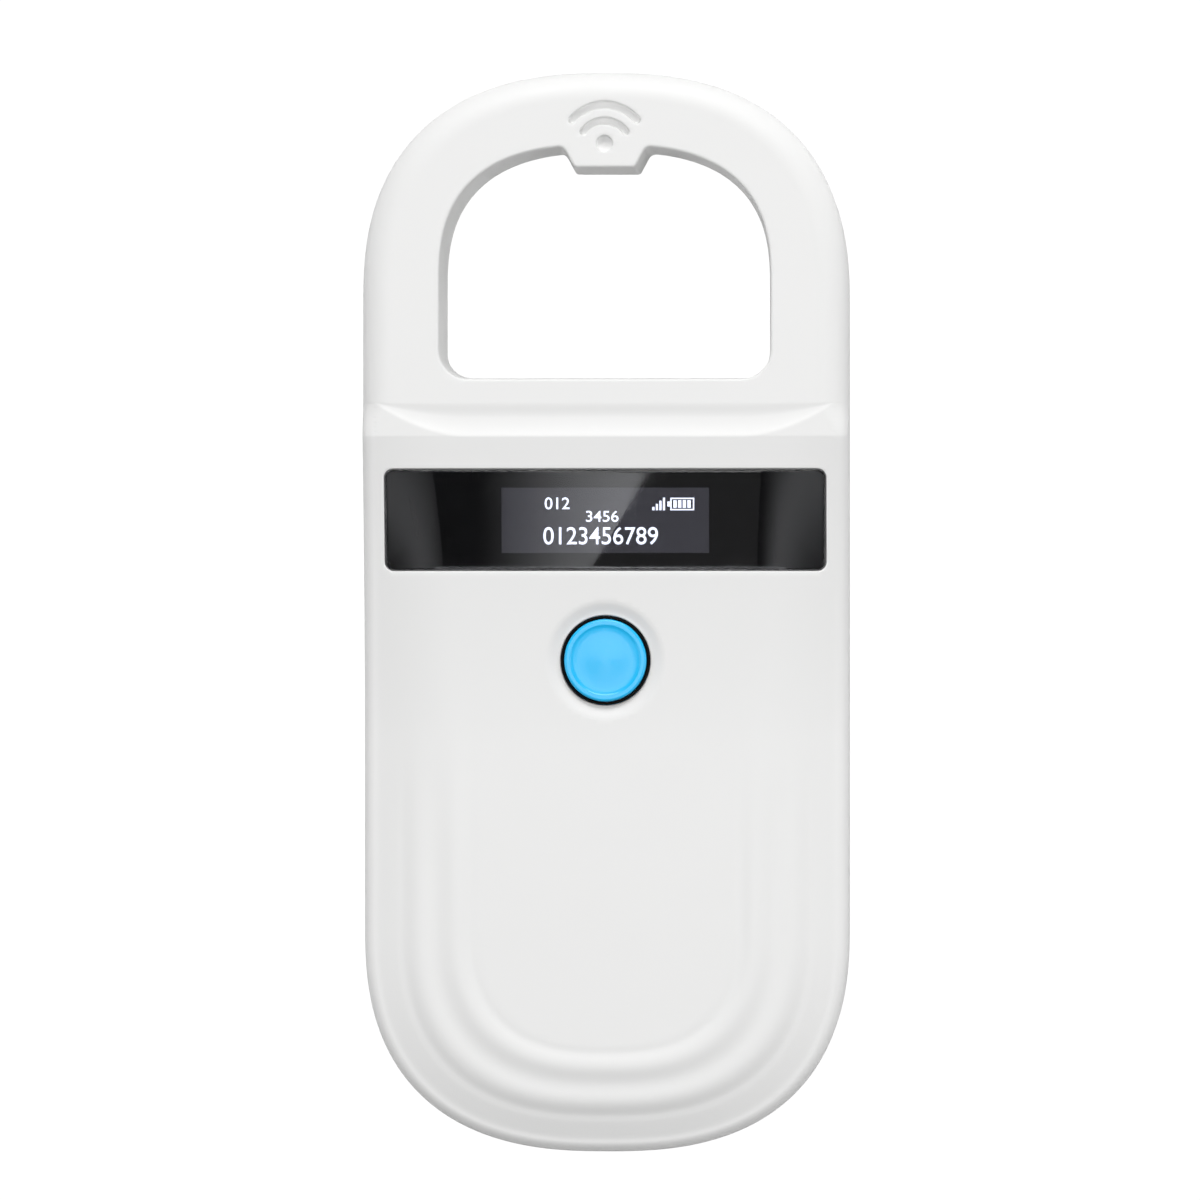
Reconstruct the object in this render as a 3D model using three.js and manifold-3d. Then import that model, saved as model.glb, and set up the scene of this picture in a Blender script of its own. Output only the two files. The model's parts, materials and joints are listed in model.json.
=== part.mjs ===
// Hand-held microchip scanner with a D-shaped antenna loop, as an assembly of separate parts.
// Frame: X across, +Y towards the loop, +Z out of the display face, origin under the middle of
// the back. Millimetres.

import * as THREE from 'three';
import { mergeVertices } from 'three/addons/utils/BufferGeometryUtils.js';
import Module from 'manifold-3d';

const wasm = await Module();
wasm.setup();

// ---------------------------------------------------------------- driving dimensions

const LENGTH = 129;
const HALF_WIDTH = 29;
const PARTING_Z = 8;
const LOOP_FACE_Z = 19.1;
const WALL = 1.9;
const ROOF = 2.3;

// Rounded ends: superellipses of this rise and power.
const LOOP_END = { rise: 27.2, power: 2.46, side: 1 };
const GRIP_END = { rise: 27, power: 2.53, side: -1 };

// The body's middle line rises from the grip to the crest; its sides lie lower by the crown.
const GRIP_Z = 16.5;
const CREST_Z = 19.5;
const RISE = { fromY: -15, toY: 21.1, power: 1.7 };
const CROWN = { grip: 2, crest: CREST_Z - LOOP_FACE_Z, start: 1.6, run: 9.4 };

// Groove between the loop face and the crest, fading out towards the sides.
const SCOOP = { y: 25.1, width: 4, power: 3, dip: 0.25, dipRun: 0.45, start: 1.8, run: 11 };

// Soft ridges that follow the outline of the grip.
const RIDGE_HEIGHT = 0.17;
const RIDGE_INSET = 6.4;
const RIDGE_PITCH = 4.8;
const RIDGE_END = 12.4;
const RIDGE_FADE = { from: -10, to: -40 };

const EDGE = { loop: 3.3, grip: 1.5, loopDrop: 3, gripDrop: 1.7 };
const BACK_EDGE = 3;

// D-shaped hole, at the front edge; the parting edge is narrower by the draft.
const HOLE = { halfWidth: 19.8, archY: 39.15, rise: 16.6, power: 2.68, bottomY: 27.9, corner: 3.5 };
const HOLE_DRAFT = 0.36;
const HOLE_EDGE = 0.3;
const HOLE_WALL = 1.6;
const TAB_PROFILE = [[5.6, 55.6], [4.85, 55.2], [4.3, 54.35], [3.85, 53.5], [3.4, 53.1]];
const TAB_SPREAD = 0.6;

const EMBLEM = { y: 55.55, dotRadius: 1, dotRise: 0.4, depth: 0.9 };
const EMBLEM_ARCS = [
  { radius: 3.1, width: 0.9, halfSpan: 54 },
  { radius: 5, width: 0.95, halfSpan: 50 },
];

const WINDOW = { halfWidth: 26.3, y: 11.1, halfHeight: 6, thickness: 1.1, tape: 0.15, gap: 0.1 };
const SIGHT = { halfWidth: 12.8, halfHeight: 4.2 };
const PANEL = { halfWidth: 15, halfHeight: 5.75, low: 14.3, high: 15.7, flexRoom: 2.8 };

const BUTTON = { y: -5.65, radius: 4.92, flange: 6, top: 17.05, ringRadius: 5.3, holeRadius: 5.4 };
const SWITCH_TOP = 13.4;

const BOARD = { low: 7.2, high: 8.4, halfWidth: 20.5, tailHalfWidth: 15.5, shoulderY: -21 };
const BOARD_TOP_Y = 18;
const BOARD_END_Y = -60;
const BOARD_SCREWS = [[-18, -16.5], [18, -16.5], [-12, -55.5], [12, -55.5]];

const CASE_SCREWS = [[-23.6, 12], [23.6, 12], [-20.5, -42], [20.5, -42]];
const SCREW = { shank: 1, head: 1.9, headHeight: 1.4, headLow: 1.2, tip: 12.2, clearance: 0.15 };
const BOSS_RADIUS = 2.6;

const USB = { halfWidth: 3.75, low: 8.45, high: 10.95, endY: -64.2, backY: -59, wall: 0.3 };
const COIL = { inner: 2, outer: 5.4, low: 4, high: 14, formerLow: 2.8, formerOuter: 4.6 };
const BATTERY = { halfWidth: 13, lowY: -50.5, highY: -12, low: 2.2, high: 6.3, corner: 1.2 };

// ---------------------------------------------------------------- solids

function toManifold(geometry) {
  const bare = geometry.clone();
  bare.deleteAttribute('normal');
  bare.deleteAttribute('uv');
  const merged = mergeVertices(bare, 1e-4);
  const index = merged.index.array;
  const triangles = [];
  for (let i = 0; i < index.length; i += 3) {
    const [a, b, c] = [index[i], index[i + 1], index[i + 2]];
    if (a !== b && b !== c && c !== a) {
      triangles.push(a, b, c);
    }
  }
  return new wasm.Manifold(new wasm.Mesh({
    numProp: 3,
    vertProperties: new Float32Array(merged.attributes.position.array),
    triVerts: new Uint32Array(triangles),
  }));
}

function toGeometry(solid) {
  const { vertProperties, triVerts } = solid.getMesh();
  const geometry = new THREE.BufferGeometry();
  geometry.setAttribute('position', new THREE.BufferAttribute(vertProperties, 3));
  geometry.setIndex(new THREE.BufferAttribute(triVerts, 1));
  geometry.computeVertexNormals();
  return geometry;
}

function joinAll(first, others) {
  return others.reduce((solid, other) => solid.add(other), first);
}

function cutAll(first, others) {
  return others.reduce((solid, other) => solid.subtract(other), first);
}

function boxGeometry(x, y, z) {
  const geometry = new THREE.BoxGeometry(x[1] - x[0], y[1] - y[0], z[1] - z[0]);
  return geometry.translate((x[0] + x[1]) / 2, (y[0] + y[1]) / 2, (z[0] + z[1]) / 2);
}

function block(x, y, z) {
  return toManifold(boxGeometry(x, y, z));
}

function postGeometry(radius, [x, y], [low, high], sides = 16) {
  const geometry = new THREE.CylinderGeometry(radius, radius, high - low, sides);
  return geometry.rotateX(Math.PI / 2).translate(x, y, (low + high) / 2);
}

function post(radius, place, z, sides) {
  return toManifold(postGeometry(radius, place, z, sides));
}

function turned(profile, [x, y], sides = 24) {
  const points = profile.map(([radius, z]) => new THREE.Vector2(radius, z));
  return new THREE.LatheGeometry(points, sides).rotateX(Math.PI / 2).translate(x, y, 0);
}

function extruded(shape, [low, high], curveSegments = 6) {
  const options = { depth: high - low, bevelEnabled: false, curveSegments };
  return new THREE.ExtrudeGeometry(shape, options).translate(0, 0, low);
}

function roundedRectangle(halfWidth, lowY, highY, radius) {
  const shape = new THREE.Shape();
  shape.moveTo(halfWidth, lowY + radius);
  shape.absarc(halfWidth - radius, highY - radius, radius, 0, Math.PI / 2);
  shape.absarc(radius - halfWidth, highY - radius, radius, Math.PI / 2, Math.PI);
  shape.absarc(radius - halfWidth, lowY + radius, radius, Math.PI, Math.PI * 1.5);
  shape.absarc(halfWidth - radius, lowY + radius, radius, Math.PI * 1.5, Math.PI * 2);
  return shape;
}

function wire(points, radius = 0.4) {
  const path = new THREE.CatmullRomCurve3(points.map((point) => new THREE.Vector3(...point)));
  const section = new THREE.Shape();
  section.absarc(0, 0, radius, 0, Math.PI * 2);
  const options = { extrudePath: path, steps: 8, curveSegments: 4, bevelEnabled: false };
  return new THREE.ExtrudeGeometry(section, options);
}

// A solid whose surface runs through a list of closed rings with the same number of points.
function ringSolid(rings) {
  const count = rings[0].length;
  const positions = rings.flat(2);
  const index = [];
  for (let ring = 0; ring < rings.length - 1; ring += 1) {
    for (let i = 0; i < count; i += 1) {
      const next = (i + 1) % count;
      const [a, b] = [ring * count + i, ring * count + next];
      index.push(a, b, b + count, a, b + count, a + count);
    }
  }
  const geometry = new THREE.BufferGeometry();
  geometry.setAttribute('position', new THREE.Float32BufferAttribute(positions, 3));
  geometry.setIndex(index);
  return geometry;
}

// A prism between outlines at several heights, closed by flat caps.
function prism(levels) {
  const rings = levels.map(({ outline, z }) => outline.map(([x, y]) => [x, y, z]));
  const geometry = ringSolid(rings);
  const index = Array.from(geometry.index.array);
  const last = (levels.length - 1) * levels[0].outline.length;
  const flat = (outline) => outline.map(([x, y]) => new THREE.Vector2(x, y));
  THREE.ShapeUtils.triangulateShape(flat(levels[0].outline), []).forEach(([a, b, c]) => {
    index.push(c, b, a);
  });
  THREE.ShapeUtils.triangulateShape(flat(levels.at(-1).outline), []).forEach(([a, b, c]) => {
    index.push(last + a, last + b, last + c);
  });
  geometry.setIndex(index);
  return toManifold(geometry);
}

// ---------------------------------------------------------------- outline and surface

const LOOP_CENTRE_Y = LENGTH / 2 - LOOP_END.rise;
const GRIP_CENTRE_Y = GRIP_END.rise - LENGTH / 2;

function smooth(value) {
  const t = Math.min(1, Math.max(0, value));
  return t * t * (3 - 2 * t);
}

function superellipse(halfWidth, rise, power, angle) {
  const [cosine, sine] = [Math.cos(angle), Math.sin(angle)];
  return [
    halfWidth * Math.sign(cosine) * Math.abs(cosine) ** (2 / power),
    rise * Math.sign(sine) * Math.abs(sine) ** (2 / power),
  ];
}

// Points round the outside, anticlockwise from the right, each with the spine point it closes to.
function stations(endSteps, sideYs) {
  const list = [];
  const addEnd = (end, centreY, firstAngle) => {
    for (let i = 0; i <= endSteps; i += 1) {
      const angle = firstAngle + (Math.PI * i) / endSteps;
      const [x, y] = superellipse(HALF_WIDTH, end.rise, end.power, angle);
      list.push({ x, y: centreY + y, spineY: centreY });
    }
  };
  addEnd(LOOP_END, LOOP_CENTRE_Y, 0);
  sideYs.forEach((y) => list.push({ x: -HALF_WIDTH, y, spineY: y }));
  addEnd(GRIP_END, GRIP_CENTRE_Y, Math.PI);
  [...sideYs].reverse().forEach((y) => list.push({ x: HALF_WIDTH, y, spineY: y }));
  return list;
}

function inset({ x, y, spineY }, distance) {
  const scale = 1 - distance / HALF_WIDTH;
  return [x * scale, spineY + (y - spineY) * scale];
}

function quarterWave(value) {
  return Math.sin((Math.PI / 2) * Math.min(1, Math.max(0, value)));
}

function bodyHeight(y, distance) {
  const along = (y - RISE.fromY) / (RISE.toY - RISE.fromY);
  const rise = Math.min(1, Math.max(0, along)) ** RISE.power;
  const middle = GRIP_Z + (CREST_Z - GRIP_Z) * rise;
  const crown = CROWN.grip + (CROWN.crest - CROWN.grip) * rise;
  return middle - crown * (1 - quarterWave((distance - CROWN.start) / CROWN.run));
}

function scoopHeight(y, distance) {
  const spread = quarterWave((distance - SCOOP.start) / SCOOP.run) ** 0.85;
  const width = Math.max(0.01, SCOOP.width * spread);
  const across = (SCOOP.y - y) / width;
  const climb = bodyHeight(SCOOP.y - width, distance) - LOOP_FACE_Z;
  const dip = SCOOP.dip * spread;
  const fall = dip * smooth(across / SCOOP.dipRun);
  return LOOP_FACE_Z - fall + (climb + dip) * across ** SCOOP.power;
}

function ridge(y, distance) {
  const fade = smooth((y - RIDGE_FADE.from) / (RIDGE_FADE.to - RIDGE_FADE.from));
  const reached = distance > 4 && distance < RIDGE_END;
  const wave = reached ? Math.cos((2 * Math.PI * (distance - RIDGE_INSET)) / RIDGE_PITCH) : 0;
  return RIDGE_HEIGHT * fade * wave;
}

// How far the rounded edge drops below the face at this distance from the outline.
function edgeDrop(y, distance) {
  const grip = smooth((SCOOP.y - y) / 4);
  const width = EDGE.loop + (EDGE.grip - EDGE.loop) * grip;
  const drop = EDGE.loopDrop + (EDGE.gripDrop - EDGE.loopDrop) * grip;
  const across = Math.max(0, 1 - distance / width);
  return drop * (1 - Math.sqrt(1 - across * across));
}

function frontHeight(y, distance) {
  const edge = edgeDrop(y, distance);
  if (y >= SCOOP.y) {
    return LOOP_FACE_Z - edge;
  }
  const body = bodyHeight(y, distance) + ridge(y, distance);
  return Math.min(body, scoopHeight(y, distance)) - edge;
}

// ---------------------------------------------------------------- D-shaped hole

function holeOutline(grow, withTab) {
  const { halfWidth, archY, rise, power, bottomY, corner } = HOLE;
  const radius = corner + grow;
  const right = [];
  for (let i = 0; i <= 4; i += 1) {
    const angle = (Math.PI / 2) * (i / 4 - 1);
    right.push([
      halfWidth + grow - radius + radius * Math.cos(angle),
      bottomY - grow + radius + radius * Math.sin(angle),
    ]);
  }
  for (let i = 0; i <= 12; i += 1) {
    const [x, y] = superellipse(halfWidth + grow, rise + grow, power, (Math.PI * i) / 24);
    if (!withTab || x > TAB_PROFILE[0][0] + 0.8) {
      right.push([x, archY + y]);
    }
  }
  if (withTab) {
    TAB_PROFILE.forEach(([x, y]) => right.push([x - TAB_SPREAD * grow, y + grow]));
  }
  const left = right.map(([x, y]) => [-x, y]).reverse();
  return [...right, ...left.filter(([x]) => x < -0.01)];
}

// Cutter for one shell: narrow at the parting plane, widest past the outer face.
function holeCutter(faceZ) {
  const side = Math.sign(faceZ - PARTING_Z);
  const rows = [
    [PARTING_Z - side, -HOLE_DRAFT],
    [PARTING_Z, -HOLE_DRAFT],
    [faceZ - side * HOLE_EDGE, 0],
    [faceZ - side * HOLE_EDGE * 0.3, HOLE_EDGE * 0.3],
    [faceZ, HOLE_EDGE],
    [faceZ + side, HOLE_EDGE],
  ];
  rows.sort((a, b) => a[0] - b[0]);
  return prism(rows.map(([z, grow]) => ({ z, outline: holeOutline(grow, true) })));
}

function loopWall() {
  const outline = holeOutline(HOLE_WALL, false);
  return prism([{ z: -1, outline }, { z: 20, outline }]);
}

// ---------------------------------------------------------------- shells

const SIDE_YS = [33, SCOOP.y, 24.2, 23.2, 22.2, 21.4, 20.2, 17, 12, 4, -6, -16, -27];

function insetRing(list, distance, height) {
  return list.map((station) => {
    const [x, y] = inset(station, distance);
    return [x, y, height(x, y)];
  });
}

function frontBlank() {
  const list = stations(16, SIDE_YS);
  const flat = () => PARTING_Z;
  const distances = [0, 0.35, 1.2, 2.4, 4.1, 6.4, 8.8, 11.2, 13.6, 20, HALF_WIDTH];
  const rings = [insetRing(list, HALF_WIDTH, flat), insetRing(list, 0, flat)];
  distances.forEach((distance) => {
    rings.push(insetRing(list, distance, (x, y) => frontHeight(y, distance)));
  });
  return toManifold(ringSolid(rings));
}

function frontCavity() {
  const list = stations(12, [20.05, 20, 8, -6, -24]);
  const floor = () => PARTING_Z - 1;
  const loopRoof = LOOP_FACE_Z - ROOF;
  const rings = [insetRing(list, HALF_WIDTH, floor), insetRing(list, WALL, floor)];
  [WALL, 4, 8, 12, HALF_WIDTH].forEach((distance) => {
    const roof = (x, y) => (y > 20.01 ? loopRoof : bodyHeight(y, distance) - ROOF);
    rings.push(insetRing(list, distance, roof));
  });
  return toManifold(ringSolid(rings)).subtract(loopWall());
}

// A curved sheet that follows the crown, between two depths below the surface.
function crownSheet(halfWidth, halfHeight, topDepth, bottomDepth) {
  const xs = [];
  for (let i = 0; i <= 16; i += 1) {
    xs.push(-halfWidth * Math.cos((Math.PI * i) / 16));
  }
  const [lowY, highY] = [WINDOW.y - halfHeight, WINDOW.y + halfHeight];
  const point = (x, y, depth) => [x, y, bodyHeight(y, HALF_WIDTH - Math.abs(x)) - depth];
  const rings = xs.map((x) => [
    point(x, lowY, bottomDepth), point(x, highY, bottomDepth),
    point(x, highY, topDepth), point(x, lowY, topDepth),
  ]);
  const geometry = ringSolid(rings);
  const end = (xs.length - 1) * 4;
  const caps = [2, 1, 0, 3, 2, 0, end, end + 1, end + 2, end, end + 2, end + 3];
  geometry.setIndex([...geometry.index.array, ...caps]);
  return toManifold(geometry);
}

function emblemCutters() {
  const low = LOOP_FACE_Z - EMBLEM.depth;
  const high = LOOP_FACE_Z + 1;
  const cutters = EMBLEM_ARCS.map(({ radius, width, halfSpan }) => {
    const half = THREE.MathUtils.degToRad(halfSpan);
    const [start, end] = [Math.PI / 2 - half, Math.PI / 2 + half];
    const shape = new THREE.Shape();
    shape.absarc(0, EMBLEM.y, radius + width / 2, start, end);
    shape.absarc(0, EMBLEM.y, radius - width / 2, end, start, true);
    return toManifold(extruded(shape, [low, high], 8));
  });
  cutters.push(post(EMBLEM.dotRadius, [0, EMBLEM.y + EMBLEM.dotRise], [low, high], 12));
  return cutters;
}

function frontShell() {
  const screwHoles = CASE_SCREWS.map((place) => (
    post(SCREW.shank + SCREW.clearance, place, [PARTING_Z - 1, SCREW.tip + 0.3], 12)
  ));
  const bosses = CASE_SCREWS.map(([x, y]) => {
    const top = bodyHeight(y, HALF_WIDTH - Math.abs(x)) - 1.5;
    return post(BOSS_RADIUS, [x, y], [PARTING_Z, top], 16);
  });
  const usbSlot = block(
    [-USB.halfWidth - 0.4, USB.halfWidth + 0.4],
    [-LENGTH / 2 - 1, USB.backY],
    [PARTING_Z - 1, USB.high + 0.4],
  );
  const { halfWidth, halfHeight, gap } = WINDOW;
  const depth = WINDOW.thickness + WINDOW.tape + 0.2;
  const sight = block(
    [-SIGHT.halfWidth, SIGHT.halfWidth],
    [WINDOW.y - SIGHT.halfHeight, WINDOW.y + SIGHT.halfHeight],
    [12, 22],
  );
  const panelPocket = block(
    [-PANEL.halfWidth - PANEL.flexRoom, PANEL.halfWidth + 0.4],
    [WINDOW.y - PANEL.halfHeight - 0.4, WINDOW.y + PANEL.halfHeight + 0.4],
    [12, PANEL.high + 0.15],
  );
  const shell = joinAll(frontBlank().subtract(frontCavity()), bosses);
  return cutAll(shell, [
    holeCutter(LOOP_FACE_Z),
    crownSheet(halfWidth + gap, halfHeight + gap, -2, depth),
    sight,
    panelPocket,
    post(BUTTON.holeRadius, [0, BUTTON.y], [12, 20], 32),
    usbSlot,
    ...screwHoles,
    ...emblemCutters(),
  ]);
}

function backBlank() {
  const list = stations(16, [25, -6]);
  const rings = [];
  const addRing = (distance, z) => rings.push(insetRing(list, distance, () => z));
  addRing(HALF_WIDTH, 0);
  for (let i = 0; i <= 4; i += 1) {
    const angle = (Math.PI / 2) * (i / 4);
    addRing(BACK_EDGE * (1 - Math.sin(angle)), BACK_EDGE * (1 - Math.cos(angle)));
  }
  addRing(0, PARTING_Z);
  addRing(HALF_WIDTH, PARTING_Z);
  return toManifold(ringSolid(rings));
}

function backCavity() {
  const list = stations(12, [25, -6]);
  const rings = [[HALF_WIDTH, WALL], [3.6, WALL], [WALL, 3.6], [WALL, 9], [HALF_WIDTH, 9]];
  const outline = rings.map(([distance, z]) => insetRing(list, distance, () => z));
  return toManifold(ringSolid(outline)).subtract(loopWall());
}

const LABEL = { halfWidth: 14, lowY: -34, highY: -12, depth: 0.3 };

function backShell() {
  const casePosts = CASE_SCREWS.map((place) => post(BOSS_RADIUS, place, [1, PARTING_Z]));
  const boardPosts = BOARD_SCREWS.map((place) => post(2.3, place, [1, BOARD.low]));
  const { shank, head, headLow, headHeight, clearance } = SCREW;
  const holes = CASE_SCREWS.flatMap((place) => [
    post(shank + clearance, place, [-1, 9], 12),
    post(head + clearance, place, [-1, headLow + headHeight + 0.1]),
  ]);
  const pilots = BOARD_SCREWS.map((place) => post(0.95, place, [3, 9], 12));
  const label = extruded(
    roundedRectangle(LABEL.halfWidth + 0.2, LABEL.lowY - 0.2, LABEL.highY + 0.2, 1.7),
    [-1, LABEL.depth],
    3,
  );
  const shell = joinAll(backBlank().subtract(backCavity()), [...casePosts, ...boardPosts]);
  return cutAll(shell, [holeCutter(0), toManifold(label), ...holes, ...pilots]);
}

// ---------------------------------------------------------------- display and button

function windowTape() {
  const { halfWidth, halfHeight, thickness, tape } = WINDOW;
  const depth = thickness + 0.1;
  const sheet = crownSheet(halfWidth - 0.3, halfHeight - 0.3, depth, depth + tape);
  const sight = block(
    [-SIGHT.halfWidth - 0.2, SIGHT.halfWidth + 0.2],
    [WINDOW.y - SIGHT.halfHeight - 0.2, WINDOW.y + SIGHT.halfHeight + 0.2],
    [10, 22],
  );
  return sheet.subtract(sight);
}

function displayHolder() {
  const outer = block(
    [-PANEL.halfWidth, PANEL.halfWidth],
    [WINDOW.y - PANEL.halfHeight, WINDOW.y + PANEL.halfHeight],
    [BOARD.high, PANEL.low],
  );
  const inner = block(
    [-PANEL.halfWidth + 1.2, PANEL.halfWidth - 1.2],
    [WINDOW.y - PANEL.halfHeight + 1.2, WINDOW.y + PANEL.halfHeight - 1.2],
    [BOARD.high - 1, PANEL.low + 1],
  );
  const flexNotch = block([-16, -13], [WINDOW.y - 4.3, WINDOW.y + 4.3], [BOARD.high - 1, 10]);
  return outer.subtract(inner).subtract(flexNotch);
}

// Ribbon from the end of the panel, out over the holder's edge and down to the board.
function panelFlex() {
  const [x, low, high] = [-PANEL.halfWidth, BOARD.high, PANEL.high - 0.4];
  const shape = new THREE.Shape();
  shape.moveTo(x - 0.15, high);
  shape.lineTo(x - 1.6, high);
  shape.lineTo(x - 2.2, high - 0.8);
  shape.lineTo(x - 2.2, low + 0.9);
  shape.lineTo(x - 1.2, low + 0.25);
  shape.lineTo(x - 0.2, low + 0.25);
  shape.lineTo(x - 0.2, low);
  shape.lineTo(x - 1.4, low);
  shape.lineTo(x - 2.45, low + 0.7);
  shape.lineTo(x - 2.45, high - 0.7);
  shape.lineTo(x - 1.7, high + 0.25);
  shape.lineTo(x - 0.15, high + 0.25);
  const ribbon = extruded(shape, [-4, 4]);
  return ribbon.rotateX(Math.PI / 2).translate(0, WINDOW.y, 0);
}

function buttonCap() {
  const { radius, flange, top, y } = BUTTON;
  return turned([
    [0, SWITCH_TOP], [1.6, SWITCH_TOP], [1.6, 13.7], [flange, 13.7], [flange, 14.05],
    [radius, 14.05], [radius, top - 0.6], [radius - 0.2, top - 0.15], [radius - 0.7, top],
    [radius - 1.1, top - 0.22], [0, top - 0.3],
  ], [0, y], 32);
}

function buttonRing() {
  const { radius, ringRadius, y } = BUTTON;
  const inner = radius + 0.1;
  const profile = [
    [inner, 14.9], [ringRadius, 14.9], [ringRadius, 16.6], [inner + 0.1, 16.7], [inner, 14.9],
  ];
  return turned(profile, [0, y], 32);
}

// ---------------------------------------------------------------- boards, coil, battery

function mainBoard() {
  const { low, high, halfWidth, tailHalfWidth, shoulderY } = BOARD;
  const head = block([-halfWidth, halfWidth], [shoulderY, BOARD_TOP_Y], [low, high]);
  const tail = block([-tailHalfWidth, tailHalfWidth], [BOARD_END_Y, shoulderY + 1], [low, high]);
  const holes = BOARD_SCREWS.map((place) => post(1.25, place, [low - 1, high + 1], 12));
  return cutAll(head.add(tail), holes);
}

function antennaCoil() {
  const ring = (grow) => {
    const outline = holeOutline(grow, false);
    return prism([
      { z: COIL.low - (grow < 4 ? 1 : 0), outline },
      { z: COIL.high + (grow < 4 ? 1 : 0), outline },
    ]);
  };
  return ring(COIL.outer).subtract(ring(COIL.inner));
}

function coilFormer() {
  const ring = (grow, low, high) => {
    const outline = holeOutline(grow, false);
    return prism([{ z: low, outline }, { z: high, outline }]);
  };
  const { inner, low, formerLow, formerOuter } = COIL;
  return ring(formerOuter, formerLow, low - 0.1).subtract(ring(inner, 0, low + 1));
}

function screw([x, y], { tip, headLow, headHigh, shank, head, down }) {
  const throat = down ? headLow : headHigh;
  const profile = down
    ? [[0, tip], [shank, tip + 0.8], [shank, throat], [head, throat], [head, headHigh - 0.3],
      [head - 0.6, headHigh], [0.5, headHigh], [0, headHigh - 0.6]]
    : [[0, headLow + 0.6], [0.5, headLow], [head - 0.6, headLow], [head, headLow + 0.3],
      [head, throat], [shank, throat], [shank, tip - 0.8], [0, tip]];
  return turned(profile, [x, y], 12);
}

function caseScrew(place) {
  const { shank, head, headLow, headHeight, tip } = SCREW;
  return screw(place, { tip, headLow, headHigh: headLow + headHeight, shank, head, down: false });
}

function boardScrew(place) {
  const headLow = BOARD.high;
  return screw(place, { tip: 3.3, headLow, headHigh: headLow + 1, shank: 0.85, head: 1.7, down: true });
}

function usbShell() {
  const { halfWidth, low, high, endY, backY, wall } = USB;
  const outer = block([-halfWidth, halfWidth], [endY, backY], [low, high]);
  const inner = block(
    [-halfWidth + wall, halfWidth - wall],
    [endY - 1, backY - wall],
    [low + wall, high - wall],
  );
  return outer.subtract(inner);
}

function batteryPouch() {
  const { halfWidth, lowY, highY, low, high, corner } = BATTERY;
  const shape = roundedRectangle(halfWidth - 0.3, lowY + 0.3, highY - 0.3, corner);
  const options = {
    depth: high - low - 1,
    bevelThickness: 0.5,
    bevelSize: 0.3,
    bevelSegments: 1,
    curveSegments: 3,
  };
  return new THREE.ExtrudeGeometry(shape, options).translate(0, 0, low + 0.5);
}

// ---------------------------------------------------------------- assembly

function finish(color, roughness, metalness = 0) {
  return new THREE.MeshStandardMaterial({ color, roughness, metalness });
}

const finishes = {
  whiteShell: finish(0xebebea, 0.42),
  smokedWindow: finish(0x17171b, 0.06),
  blackTape: finish(0x101012, 0.8),
  blueButton: finish(0x3cc6fc, 0.35),
  blackRubber: finish(0x0c0c0e, 0.6),
  paperLabel: finish(0xd9dadc, 0.5),
  steel: finish(0xb9bcc0, 0.3, 1),
  board: finish(0x14553a, 0.5),
  blackPlastic: finish(0x18181a, 0.5),
  whitePlastic: finish(0xe4e0d4, 0.5),
  panelGlass: finish(0x0a0a12, 0.08),
  amberFilm: finish(0xa0622a, 0.4),
  copper: finish(0xb8622d, 0.35, 1),
  pouchFoil: finish(0xb4b7bc, 0.35, 1),
  redWire: finish(0xb51f1c, 0.5),
  blackWire: finish(0x141416, 0.5),
};

const scanner = new THREE.Group();

function addPart(parent, name, shape, material) {
  const geometry = shape instanceof THREE.BufferGeometry ? shape : toGeometry(shape);
  const mesh = new THREE.Mesh(geometry, material);
  mesh.name = name;
  parent.add(mesh);
}

function addBlocks(parent, rows) {
  rows.forEach(([name, x, y, z, material]) => {
    addPart(parent, name, boxGeometry(x, y, z), material);
  });
}

function addCasing() {
  const casing = new THREE.Group();
  addPart(casing, 'front_shell', frontShell(), finishes.whiteShell);
  addPart(casing, 'back_shell', backShell(), finishes.whiteShell);
  const { halfWidth, lowY, highY, depth } = LABEL;
  const label = extruded(roundedRectangle(halfWidth, lowY, highY, 1.5), [0.05, depth - 0.05], 3);
  addPart(casing, 'rating_label', label, finishes.paperLabel);
  CASE_SCREWS.forEach((place, i) => {
    addPart(casing, `case_screw_${i + 1}`, caseScrew(place), finishes.steel);
  });
  scanner.add(casing);
}

function addDisplay() {
  const display = new THREE.Group();
  const { halfWidth, halfHeight, thickness } = WINDOW;
  const lens = crownSheet(halfWidth, halfHeight, 0.02, thickness);
  addPart(display, 'display_window', lens, finishes.smokedWindow);
  addPart(display, 'window_tape', windowTape(), finishes.blackTape);
  addPart(display, 'display_holder', displayHolder(), finishes.blackPlastic);
  addPart(display, 'panel_flex', panelFlex(), finishes.amberFilm);
  const y = [WINDOW.y - PANEL.halfHeight, WINDOW.y + PANEL.halfHeight];
  const polarizerY = [WINDOW.y - 3.9, WINDOW.y + 3.9];
  addBlocks(display, [
    ['display_panel', [-PANEL.halfWidth, PANEL.halfWidth], y, [PANEL.low, PANEL.high],
      finishes.panelGlass],
    ['display_polarizer', [-12.4, 12.4], polarizerY, [PANEL.high, PANEL.high + 0.2],
      finishes.panelGlass],
  ]);
  scanner.add(display);
}

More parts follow.
